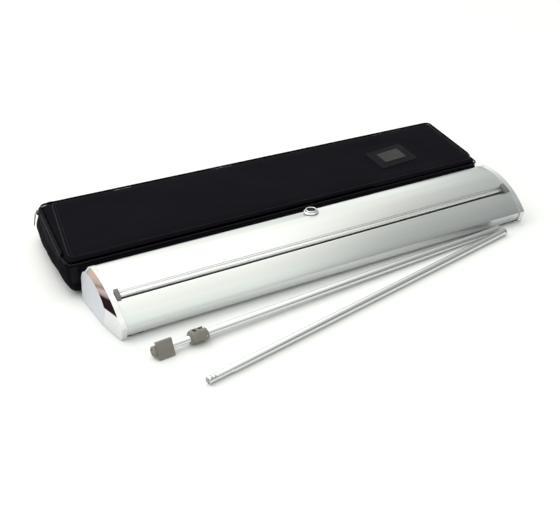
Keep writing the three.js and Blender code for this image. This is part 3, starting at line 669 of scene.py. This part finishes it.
lid_low, lid_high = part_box("bag_lid")
tub_low, tub_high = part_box("bag_tub")
pocket_low, pocket_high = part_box("card_pocket")
RIM_LINE = lid_low.z  # where the lid meets the tub
OUTLINE_REACH = 0.2 * MM

rim_outline = outline_at("bag_lid", lid_low.z, OUTLINE_REACH)
top_outline = outline_at("bag_lid", lid_high.z, OUTLINE_REACH)


def near_outline(points, outline):
    """How far each point is, in plan, from a closed outline."""
    ends = np.roll(outline, -1, 0)
    span = ends - outline
    best = np.full(len(points), 1e9)
    for a, d in zip(outline, span):
        t = np.clip(((points[:, :2] - a) @ d) / max(d @ d, 1e-12), 0, 1)
        best = np.minimum(best, np.linalg.norm(points[:, :2] - a - t[:, None] * d, axis=1))
    return best


def by_pocket(points):
    """1 well inside the card pocket, 0 from 30 mm outside it."""
    middle = np.array([(pocket_low.x + pocket_high.x) / 2, (pocket_low.y + pocket_high.y) / 2])
    half = np.array([pocket_high.x - pocket_low.x, pocket_high.y - pocket_low.y]) / 2
    out = np.maximum(np.abs(points[:, :2] - middle) - half, 0)
    return 1 - smooth_step(np.linalg.norm(out, axis=1) / (30 * MM))


LID_SAG = 1.6 * MM
LID_RIPPLE = 0.7 * MM


def shape_lid(points):
    """The lid's top panel sags a little between its edges, with broad dents and slight ripples."""
    edge = near_outline(points, top_outline)
    inside = smooth_step(edge / (45 * MM)) * (1 - 0.85 * by_pocket(points))
    top = smooth_step((points[:, 2] - RIM_LINE) / (lid_high.z - RIM_LINE))
    lowered = -LID_SAG * (0.6 + 0.7 * wave(points, 170 * MM, 1))
    ripples = LID_RIPPLE * wave(points * np.array([1, 1.4, 1]), 52 * MM, 2)
    points = points.copy()
    points[:, 2] += inside * (lowered + ripples * top) - 0.35 * MM * top
    return points


def pin_lid(points):
    """Held at the zip and hinge line, and along the sewn edge of the top panel."""
    low = 1 - smooth_step((points[:, 2] - RIM_LINE - 1.5 * MM) / (3 * MM))
    rim = 1 - smooth_step(near_outline(points, rim_outline) / (7 * MM))
    sewn = 1 - smooth_step(near_outline(points, top_outline) / (3 * MM))
    return np.clip(np.maximum(np.maximum(low * rim, 0.75 * sewn), 0.9 * by_pocket(points)), 0, 1)


TUB_DENT = 3.2 * MM
LEFT_END_BULGE = 6.5 * MM
TUB_FOLD = 1.5 * MM


def shape_tub(points):
    """The walls sag in and out between the rim and the floor, with folds towards the corners."""
    up = (points[:, 2] - tub_low.z) / (RIM_LINE - tub_low.z)
    wall = np.clip(np.sin(np.clip(up, 0, 1) * math.pi), 0, 1) ** 0.8
    middle = np.array([(tub_low.x + tub_high.x) / 2, (tub_low.y + tub_high.y) / 2])
    half = np.array([(tub_high.x - tub_low.x) / 2, (tub_high.y - tub_low.y) / 2])
    reach = (points[:, :2] - middle) / half
    ends = np.abs(reach[:, 0]) > np.abs(reach[:, 1])
    away = np.zeros_like(points)
    away[ends, 0] = np.sign(reach[ends, 0])
    away[~ends, 1] = np.sign(reach[~ends, 1])
    corner = smooth_step((np.minimum(np.abs(reach[:, 0]), np.abs(reach[:, 1])) - 0.55) / 0.3)
    dent = TUB_DENT * (wave(points, 120 * MM, 3) - 0.25)
    left_end = ends & (reach[:, 0] < 0)
    bulge = LEFT_END_BULGE * left_end * (1 - np.clip(reach[:, 1], -1, 1) ** 2)
    fold = TUB_FOLD * wave(points * np.array([1, 1, 0.45]), 26 * MM, 4) * (0.5 + corner)
    shaped = points + away * (wall * (dent + fold + bulge))[:, None]
    shaped[:, 2] = np.maximum(shaped[:, 2], tub_low.z)
    return shaped


def pin_tub(points):
    """Held at the rim, where the zip is sewn on, and on the floor."""
    rim = smooth_step((points[:, 2] - (RIM_LINE - 7 * MM)) / (4 * MM))
    floor = 1 - smooth_step((points[:, 2] - tub_low.z - 1.5 * MM) / (4 * MM))
    return np.maximum(rim, floor)


LID_VOXEL = 4.5 * MM
TUB_VOXEL = 5 * MM

lid_cloth = cloth_piece(
    "bag_lid_cloth", "bag_lid", NYLON, LID_VOXEL, shape_lid, pin_lid, pressure=3.0, grow=0.006, cap=2.2 * MM,
)
tub_cloth = cloth_piece(
    "bag_tub_cloth", "bag_tub", NYLON, TUB_VOXEL, shape_tub, pin_tub, pressure=2.5, grow=0.012, cap=5 * MM,
)
for piece in (lid_cloth, tub_cloth):
    co = coordinates(piece)
    if piece == lid_cloth:
        co[:, 2] = np.maximum(co[:, 2], RIM_LINE - 0.2 * MM)
    else:
        co[:, 2] = np.clip(co[:, 2], tub_low.z, RIM_LINE - 0.4 * MM)
    set_coordinates(piece, co)
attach(lid_cloth, "bag_lid")
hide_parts("bag_lid")
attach(tub_cloth, "bag")
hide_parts("bag_tub")

# ---------------------------------------------------------------- zip, seams and piping

lid_surface = BVHTree.FromObject(lid_cloth, bpy.context.evaluated_depsgraph_get())
tub_surface = BVHTree.FromObject(tub_cloth, bpy.context.evaluated_depsgraph_get())
PROBE = 30 * MM


def on_wall(surface, point, out):
    """The place where a level line from outside meets the cloth's wall."""
    start = Vector(point) + Vector(out) * PROBE
    hit = surface.ray_cast(start, -Vector(out), 2 * PROBE)[0]
    return np.array(hit if hit is not None else point)


def on_top(surface, point):
    """The cloth's highest place over a plan point, and its normal."""
    above = Vector((point[0], point[1], lid_high.z + PROBE))
    hit, normal = surface.ray_cast(above, Vector((0, 0, -1)))[:2]
    if hit is None:
        return np.array((point[0], point[1], lid_high.z)), np.array((0.0, 0.0, 1.0))
    return np.array(hit), np.array(normal)


def laid_on(surface, path):
    """The cloth's highest places over a plan path, and their normals."""
    found = [on_top(surface, point) for point in path]
    return np.array([place for place, _ in found]), np.array([normal for _, normal in found])


def level(path, z):
    return np.column_stack([path, np.full(len(path), z)])


def moved_out(outline, distance):
    out = outward(level(outline, 0), True)[:, :2]
    return outline + out * distance


zip_front_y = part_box("zip_tape_lower")[0].y
rim_path = even_path(rim_outline, 4 * MM, True)
front_middle = np.argmin(rim_path[:, 1])
rim_path = np.roll(rim_path, -front_middle, 0)
on_zip = rim_path[:, 1] >= zip_front_y
zip_path = even_path(rim_path[on_zip], 3 * MM, False)

TAPE_THICK = 0.7 * MM
COIL_OUT = 2.3 * MM
TOOTH_PITCH = 2.0 * MM
TOOTH = (2.4 * MM, 1.0 * MM, 1.5 * MM)


def tape(name, rows, surface, body, node):
    """A zip tape along the cloth's wall; rows are (height, how far out, whether out is from the rim)."""
    path = level(zip_path, RIM_LINE)
    out = outward(path, False)
    points, faces = [], []
    count = len(rows)
    for p, o in zip(path, out):
        for z, off, to_rim in rows:
            spot = np.array([p[0], p[1], z])
            if not to_rim:
                wall = on_wall(surface, spot, o)
                spot = spot + o * max(float((wall - spot) @ o), -2 * MM)
            points.append(spot + o * off)
    for i in range(len(path) - 1):
        for k in range(count - 1):
            a, b = i * count + k, (i + 1) * count + k
            faces.append((a, b, b + 1, a + 1))
    strip = new_object(name, mesh_from(name, points, faces), TAPE)
    thick = strip.modifiers.new("thick", "SOLIDIFY")
    thick.thickness = TAPE_THICK
    thick.offset = 0
    applied(strip)
    strip.data.shade_smooth()
    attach(strip, body)
    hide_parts(node)
    return strip


def teeth(name, z, shift, body):
    """The half of the zip's coil that is sewn on one tape."""
    path = even_path(level(zip_path, z), TOOTH_PITCH, False)[: -1]
    along = tangents(path, False)
    out = outward(path, False)
    places = path + out * COIL_OUT + along * (shift * TOOTH_PITCH)
    ups = upwards(len(path))
    coil = new_object(name, grains(name, places, ups, out, TOOTH), DARK_PLASTIC)
    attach(coil, body)
    return coil


def stitches(name, path, normals, body, length=3.0 * MM, pitch=4.4 * MM, thick=0.55 * MM, closed=True):
    """A line of thread along a path that lies on the cloth."""
    spots = even_path(np.hstack([path, normals]), pitch, closed)
    places, ups = spots[:, :3], spots[:, 3:]
    along = tangents(places, closed)
    ups = ups - along * np.sum(ups * along, axis=1)[:, None]
    ups = ups / np.linalg.norm(ups, axis=1)[:, None]
    thread = new_object(name, grains(name, places, along, ups, (length, thick, thick * 0.8)), THREAD)
    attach(thread, body)
    return thread


tape(
    "zip_tape_lower_cloth",
    [(RIM_LINE - 11 * MM, 0.5 * MM, False), (RIM_LINE - 8 * MM, 0.6 * MM, False),
     (RIM_LINE - 5 * MM, 0.8 * MM, False), (RIM_LINE - 2.6 * MM, 1.5 * MM, True),
     (RIM_LINE - 1.2 * MM, COIL_OUT - 0.2 * MM, True)],
    tub_surface, "bag", "zip_tape_lower",
)
tape(
    "zip_tape_upper_cloth",
    [(RIM_LINE + 1.0 * MM, COIL_OUT - 0.2 * MM, True), (RIM_LINE + 2.2 * MM, 1.2 * MM, True),
     (RIM_LINE + 4.2 * MM, 0.5 * MM, False), (RIM_LINE + 6.2 * MM, 0.4 * MM, False)],
    lid_surface, "bag_lid", "zip_tape_upper",
)
teeth("zip_teeth_lower", RIM_LINE - 0.7 * MM, 0.0, "bag")
teeth("zip_teeth_upper", RIM_LINE + 0.5 * MM, 0.5, "bag_lid")

# Piping round the lid's top panel, and its stitches
PIPING_R = 1.25 * MM
LID_SEAM = 5.5 * MM
panel = even_path(top_outline, 4 * MM, True)
panel_places = np.array([on_top(lid_surface, p)[0] for p in moved_out(panel, -0.8 * MM)])
panel_out = outward(panel_places, True)
ups = upwards(len(panel))
piping_path = panel_places + panel_out * 0.5 * MM - ups * 0.35 * MM
piping = new_object(
    "lid_piping", sweep("lid_piping", piping_path, panel_out, ups, round_section(PIPING_R), True), PIPING,
)
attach(piping, "bag_lid")
line, normals = laid_on(lid_surface, moved_out(panel, -LID_SEAM))
stitches("lid_stitches", line + normals * 0.05 * MM, normals, "bag_lid")

# Piping along the lid's hinge line at the front, from one end of the zip to the other
on_hinge = rim_path[~on_zip]
on_hinge = on_hinge[on_hinge[:, 0].argsort()]
front_path = level(np.vstack([rim_path[on_zip][-1:], on_hinge, rim_path[on_zip][:1]]), RIM_LINE)
front_path = even_path(front_path, 4 * MM, False)
front_out = outward(front_path, False)
HINGE_R = 1.5 * MM
ups = upwards(len(front_path))
hinge_path = front_path - ups * (HINGE_R + 0.2 * MM) + front_out * 0.4 * MM
hinge_piping = new_object(
    "hinge_piping", sweep("hinge_piping", hinge_path, front_out, ups, round_section(HINGE_R), False), PIPING,
)
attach(hinge_piping, "bag")


def wall_line(z, step=4 * MM):
    """A line round the tub's wall at one height, with the level direction out of it."""
    path = level(even_path(rim_outline, step, True), z)
    out = outward(path, True)
    return np.array([on_wall(tub_surface, p, o) for p, o in zip(path, out)]), out


FLOOR_SEAM = tub_low.z + 9 * MM
FLOOR_PIPING_R = 1.3 * MM
seam, seam_out = wall_line(FLOOR_SEAM)
floor_path = seam + seam_out * 0.3 * MM
floor_piping = new_object(
    "floor_piping",
    sweep("floor_piping", floor_path, seam_out, upwards(len(seam)), round_section(FLOOR_PIPING_R), True),
    PIPING,
)
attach(floor_piping, "bag")
TUB_SEAM = RIM_LINE - 9.5 * MM
line, out = wall_line(TUB_SEAM)
stitches("tub_stitches", line + out * 0.55 * MM, out, "bag")

# ---------------------------------------------------------------- card pocket, window and corner tab

pocket_outline = outline_at("card_pocket", pocket_high.z, OUTLINE_REACH)
window_outline = outline_at("card_window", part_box("card_window")[1].z, 0.1 * MM)
POCKET_SEAM = 3.2 * MM


def inside_outline(points, outline):
    """Whether each point is inside a closed outline, in plan."""
    x, y = points[:, 0], points[:, 1]
    within = np.zeros(len(points), bool)
    for (x0, y0), (x1, y1) in zip(outline, np.roll(outline, -1, 0)):
        crosses = (y0 > y) != (y1 > y)
        at = x0 + (y - y0) * (x1 - x0) / np.where(y1 == y0, 1e-12, y1 - y0)
        within ^= crosses & (x < at)
    return within


def shape_pocket(points):
    """A doubled edge outside the seam, and a shallow frame round the window."""
    points = points.copy()
    edge = near_outline(points, pocket_outline)
    window = near_outline(points, window_outline)
    upper = points[:, 2] > (pocket_low.z + pocket_high.z) / 2
    channel = np.exp(-(((edge - POCKET_SEAM) / (0.9 * MM)) ** 2))
    frame_edge = np.exp(-(((window - 1.6 * MM) / (1.0 * MM)) ** 2))
    frame_edge = frame_edge * ~inside_outline(points, window_outline)
    points[:, 2] -= upper * (0.55 * MM * channel - 0.25 * MM * frame_edge)
    points[:, 2] += upper * 0.18 * MM * wave(points, 11 * MM, 6)
    return points


def pin_pocket(points):
    edge = near_outline(points, pocket_outline)
    low = points[:, 2] < (pocket_low.z + pocket_high.z) / 2
    seam = np.exp(-(((edge - POCKET_SEAM) / (1.5 * MM)) ** 2))
    inside = inside_outline(points, window_outline)
    return np.clip(np.maximum(np.maximum(low, seam), inside), 0, 1)


def settle_on_lid(piece, base, lift):
    """Lowers or lifts a flat piece so that it follows the lid cloth under it."""
    co = coordinates(piece)
    for i, p in enumerate(co):
        co[i, 2] += on_top(lid_surface, p)[0][2] - base + lift
    set_coordinates(piece, co)


POCKET_VOXEL = 1.1 * MM
pocket = cloth_piece(
    "card_pocket_cloth", "card_pocket", WEBBING, POCKET_VOXEL, shape_pocket, pin_pocket,
    pressure=2.0, grow=0.004, cap=0.5 * MM, frames=10,
)
settle_on_lid(pocket, pocket_low.z, 0.05 * MM)
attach(pocket, "bag_lid")
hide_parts("card_pocket")
seam = even_path(moved_out(pocket_outline, -POCKET_SEAM), 2 * MM, True)
pocket_surface = BVHTree.FromObject(pocket, bpy.context.evaluated_depsgraph_get())
places, normals = laid_on(pocket_surface, seam)
stitches("pocket_stitches", places + normals * 0.15 * MM, normals, "bag_lid", 2.2 * MM, 3.2 * MM, 0.45 * MM)
rim_of_window = even_path(moved_out(window_outline, 1.2 * MM), 2 * MM, True)
places, normals = laid_on(pocket_surface, rim_of_window)
stitches("window_stitches", places + normals * 0.12 * MM, normals, "bag_lid", 1.8 * MM, 2.8 * MM, 0.4 * MM)


def vinyl():
    """Clear film over a dark card, with scuffs along its length."""
    m = Nodes("clear_vinyl")
    scuffs = m.noise(600, (1, 0.15, 1), 3, 0.6, (0, 0, 0.7))
    cloud = m.noise(45, (1, 1, 1), 3, 0.5)
    cloudy = m.ramp(cloud, [(0.35, 0.0), (0.75, 1.0)])
    tone = m.mix(cloudy, (0.013, 0.013, 0.015), (0.021, 0.021, 0.024))
    roughness = m.math("ADD", 0.24, m.math("MULTIPLY", scuffs, 0.16))
    normal = m.bump(scuffs, 0.00001, 0.4, m.bump(cloud, 0.0004, 0.5))
    m.shader.inputs["Specular IOR Level"].default_value = 0.05
    return m.set(Base_Color=tone, Roughness=roughness, Normal=normal)


WINDOW_VOXEL = 0.6 * MM
mesh = nodes["card_window"].data.copy()
mesh.name = "card_window_sheet"
window = new_object("card_window_sheet", mesh, vinyl())
weld = window.modifiers.new("weld", "WELD")
weld.merge_threshold = WELD_DISTANCE
remesh = window.modifiers.new("remesh", "REMESH")
remesh.mode = "VOXEL"
remesh.voxel_size = WINDOW_VOXEL
even = window.modifiers.new("even", "SMOOTH")
even.iterations = 2
applied(window)
co = coordinates(window)
co[:, 2] += 0.12 * MM * wave(co, 16 * MM, 8)
set_coordinates(window, co)
settle_on_lid(window, pocket_low.z, 0.1 * MM)
window.data.shade_smooth()
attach(window, "bag_lid")
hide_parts("card_window")


def grid_faces(rows, columns):
    """The faces of a sheet of points laid out row by row."""
    across = columns + 1
    corners = [row * across + column for row in range(rows) for column in range(columns)]
    return [(a, a + 1, a + across + 1, a + across) for a in corners]


# The web tab is a strip of webbing, sewn down at both ends
tab_low, tab_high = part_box("corner_tab")
tab_x = (tab_low.x + tab_high.x) / 2
tab_half = (tab_high.x - tab_low.x) / 2
TAB_COLUMNS = 12
TAB_ROWS = 26
TAB_GAP = 1.2 * MM  # the tab's head stops under the piping
TAB_THICK = 1.3 * MM
points = []
for row in range(TAB_ROWS + 1):
    z = tab_low.z + (tab_high.z - TAB_GAP - tab_low.z) * row / TAB_ROWS
    for column in range(TAB_COLUMNS + 1):
        x = tab_x + tab_half * (2 * column / TAB_COLUMNS - 1)
        wall = on_wall(tub_surface, (x, tab_low.y, z), (0, -1, 0))
        rib = 0.12 * MM * math.cos(row * math.pi)
        selvedge = 0.25 * MM * (column in (0, TAB_COLUMNS))
        back = min(wall[1], tab_high.y + 1.2 * MM)
        points.append((x, back - TAB_THICK / 2 - 0.25 * MM + rib + selvedge, z))
faces = grid_faces(TAB_ROWS, TAB_COLUMNS)
tab = new_object("corner_tab_web", mesh_from("corner_tab_web", points, faces), WEBBING)
thick = tab.modifiers.new("thick", "SOLIDIFY")
thick.thickness = TAB_THICK
thick.offset = 0
fine = tab.modifiers.new("fine", "SUBSURF")
fine.levels = fine.render_levels = 1
applied(tab)
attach(tab, "bag")
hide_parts("corner_tab")
tab_surface = BVHTree.FromObject(tab, bpy.context.evaluated_depsgraph_get())
tab_seams = {
    "tab_stitches_lower": tab_low.z + 2.5 * MM,
    "tab_stitches_upper": tab_high.z - TAB_GAP - 2 * MM,
}
for name, z in tab_seams.items():
    spots = [(tab_x + tab_half * t, tab_low.y, z) for t in np.linspace(-0.85, 0.85, 8)]
    row = np.array([on_wall(tab_surface, spot, (0, -1, 0)) for spot in spots])
    forward = np.tile((0.0, -1.0, 0.0), (len(row), 1))
    stitches(name, row + forward * 0.15 * MM, forward, "bag", 1.3 * MM, 1.6 * MM, 0.45 * MM, closed=False)

# ---------------------------------------------------------------- banner film and felt

web_low, web_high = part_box("banner_web")
WEB_COLUMNS = 160
WEB_ROWS = 24
FILM_THICK = 0.25 * MM
web_y = (web_low.y + web_high.y) / 2
points = []
for row in range(WEB_ROWS + 1):
    z = web_low.z + (web_high.z - web_low.z) * row / WEB_ROWS
    free = math.sin(math.pi * row / WEB_ROWS)
    for column in range(WEB_COLUMNS + 1):
        x = web_low.x + (web_high.x - web_low.x) * column / WEB_COLUMNS
        ripple = 0.1 * MM * free * noise.noise(Vector((x * 9, z * 30, 4.5)))
        points.append((x, web_y + ripple, z))
faces = grid_faces(WEB_ROWS, WEB_COLUMNS)
web = new_object("banner_web_film", mesh_from("banner_web_film", points, faces), FILM)
thick = web.modifiers.new("thick", "SOLIDIFY")
thick.thickness = FILM_THICK
thick.offset = 0
applied(web)
web.data.shade_smooth()
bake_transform(web)
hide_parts("banner_web")

felt_low, felt_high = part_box("wiper_felt")
FELT_COLUMNS = 700
FELT_ROWS = 6
points = []
for row in range(FELT_ROWS + 1):
    z = felt_low.z + (felt_high.z - felt_low.z) * row / FELT_ROWS
    for column in range(FELT_COLUMNS + 1):
        x = felt_low.x + (felt_high.x - felt_low.x) * column / FELT_COLUMNS
        pile = 0.35 * MM * noise.noise(Vector((x * 900, z * 900, 2.5)))
        points.append((x, (felt_low.y + felt_high.y) / 2 + pile * 0.5, z))
faces = grid_faces(FELT_ROWS, FELT_COLUMNS)
felt = new_object("wiper_felt_pile", mesh_from("wiper_felt_pile", points, faces), FELT)
thick = felt.modifiers.new("thick", "SOLIDIFY")
thick.thickness = (felt_high.y - felt_low.y) * 0.8
thick.offset = 0
applied(felt)
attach(felt, "base")
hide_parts("wiper_felt")

# ---------------------------------------------------------------- floor and light


def floor_material():
    m = Nodes("pale_floor")
    cloud = m.noise(3, (1, 1, 1), 3, 0.5)
    cloudy = m.ramp(cloud, [(0.3, 0.0), (0.8, 1.0)])
    tone = m.mix(cloudy, (0.9, 0.9, 0.9), (0.885, 0.885, 0.885))
    return m.set(Base_Color=tone, Roughness=0.6, Specular_IOR_Level=0.2)


FLOOR_HALF = 12.0
floor_corners = [(FLOOR_HALF * x, FLOOR_HALF * y, 0) for x, y in ((-1, -1), (1, -1), (1, 1), (-1, 1))]
floor = new_object("floor", mesh_from("floor", floor_corners, [(0, 1, 2, 3)]), floor_material())

world = bpy.data.worlds.new("studio")
bpy.context.scene.world = world
world.use_nodes = True
tree = world.node_tree
background = tree.nodes["Background"]


def world_math(operation, a, b, c=0.0):
    node = tree.nodes.new("ShaderNodeMath")
    node.operation = operation
    for socket, value in zip(node.inputs, (a, b, c)):
        if isinstance(value, (int, float)):
            socket.default_value = value
        else:
            tree.links.new(value, socket)
    return node.outputs[0]


def world_ramp(fac, stops):
    ramp = tree.nodes.new("ShaderNodeValToRGB")
    while len(ramp.color_ramp.elements) < len(stops):
        ramp.color_ramp.elements.new(0.5)
    for element, (position, colour) in zip(ramp.color_ramp.elements, stops):
        element.position = position
        element.color = (*colour, 1)
    tree.links.new(fac, ramp.inputs["Fac"])
    return ramp.outputs["Color"]


# A large soft light overhead, behind and to the left: dimmer towards the front and the right
place = tree.nodes.new("ShaderNodeTexCoord")
parts = tree.nodes.new("ShaderNodeSeparateXYZ")
tree.links.new(place.outputs["Generated"], parts.inputs[0])
height = world_math("MULTIPLY_ADD", parts.outputs["Y"], 0.35, parts.outputs["Z"])
overhead = world_ramp(height, [
    (0.0, (0.37, 0.385, 0.375)), (0.35, (0.55, 0.575, 0.555)), (0.6, (0.83, 0.87, 0.84)),
    (0.82, (0.82, 0.82, 0.755)), (0.96, (1.0, 1.0, 0.98)),
])
tilt = world_math("MULTIPLY_ADD", parts.outputs["Y"], -0.4, 1.0)
side = world_math("MULTIPLY", parts.outputs["X"], tilt)
rightward = world_ramp(side, [
    (0.4, (1, 1, 1)), (0.5, (0.84, 0.84, 0.85)), (0.55, (0.72, 0.72, 0.73)),
    (0.69, (0.46, 0.46, 0.47)),
])
both = tree.nodes.new("ShaderNodeMix")
both.data_type = "RGBA"
both.blend_type = "MULTIPLY"
both.inputs[0].default_value = 1
tree.links.new(overhead, both.inputs[6])
tree.links.new(rightward, both.inputs[7])
tree.links.new(both.outputs[2], background.inputs["Color"])
WORLD_STRENGTH = 1.48
background.inputs["Strength"].default_value = WORLD_STRENGTH


def soft_light(name, place, target, size, power, colour=(1, 1, 1)):
    data = bpy.data.lights.new(name, "AREA")
    data.shape = "RECTANGLE"
    data.size, data.size_y = size
    data.energy = power
    data.color = colour
    lamp = bpy.data.objects.new(name, data)
    bpy.context.scene.collection.objects.link(lamp)
    lamp.location = place
    lamp.rotation_euler = (Vector(target) - Vector(place)).to_track_quat("-Z", "Y").to_euler()
    return lamp


soft_light("key", (-0.9, 1.1, 2.0), (0, 0, 0), (2.4, 1.4), 12, (1, 0.995, 0.97))


def reflected_card(name, corners, stops):
    """A card seen only in reflections; stops are (height, colour), from low to high."""
    m = Nodes(name)
    height = m.add("ShaderNodeSeparateXYZ")
    m.link(m.place.outputs["Object"], height.inputs[0])
    low, high = stops[0][0], stops[-1][0]
    share = m.math("DIVIDE", m.math("SUBTRACT", height.outputs[2], low), high - low)
    colour = m.ramp(share, [((z - low) / (high - low), tone) for z, tone in stops])
    light = m.add("ShaderNodeEmission")
    m.link(colour, light.inputs["Color"])
    m.link(light.outputs[0], m.tree.nodes["Material Output"].inputs["Surface"])
    card = new_object(name, mesh_from(name, corners, [(0, 1, 2, 3)]), m.material)
    card.visible_camera = card.visible_diffuse = False
    card.visible_shadow = card.visible_transmission = False
    return card


# The left end cap's bevel looks along this direction, so its cards are placed by it
CAP_SIDE = math.radians(-52)
cap_middle = Vector((cap_low.x, (cap_low.y + cap_high.y) / 2, 0))
away = Vector((math.sin(CAP_SIDE), math.cos(CAP_SIDE), 0))
across = Vector((away.y, -away.x, 0))


def beside_cap(out, side_step, z):
    """A place out from the left end cap and to one side, at a height; in millimetres."""
    return cap_middle + (away * out + across * side_step + Vector((0, 0, z))) * MM


# An upright card, dark low down and warm above, and a dark card on the floor in front of it
CARD_OUT = 200
CARD_FRONT = -85
CARD_BOTTOM = 0.5
CARD_TOP = 170
WARM_CARD_REAR = 150
LOW_CARD_NEAR = 80
CARD_DARK = (0.03, 0.015, 0.018)
reflected_card(
    "warm_card",
    [beside_cap(CARD_OUT, CARD_FRONT, CARD_BOTTOM), beside_cap(CARD_OUT, WARM_CARD_REAR, CARD_BOTTOM),
     beside_cap(CARD_OUT, WARM_CARD_REAR, CARD_TOP), beside_cap(CARD_OUT, CARD_FRONT, CARD_TOP)],
    [(0.0, (0.035, 0.018, 0.022)), (0.034, CARD_DARK), (0.045, (0.45, 0.36, 0.35)),
     (0.07, (0.8, 0.63, 0.59)), (0.09, (0.4, 0.31, 0.26)), (0.105, (0.68, 0.52, 0.45)),
     (0.13, (0.9, 0.68, 0.56))],
)
reflected_card(
    "low_card",
    [beside_cap(LOW_CARD_NEAR, CARD_FRONT, CARD_BOTTOM), beside_cap(LOW_CARD_NEAR, -8, CARD_BOTTOM),
     beside_cap(CARD_OUT, 20, CARD_BOTTOM), beside_cap(CARD_OUT, CARD_FRONT, CARD_BOTTOM)],
    [(0.0, CARD_DARK), (MM, CARD_DARK)],
)

bpy.context.scene.view_settings.view_transform = "Standard"
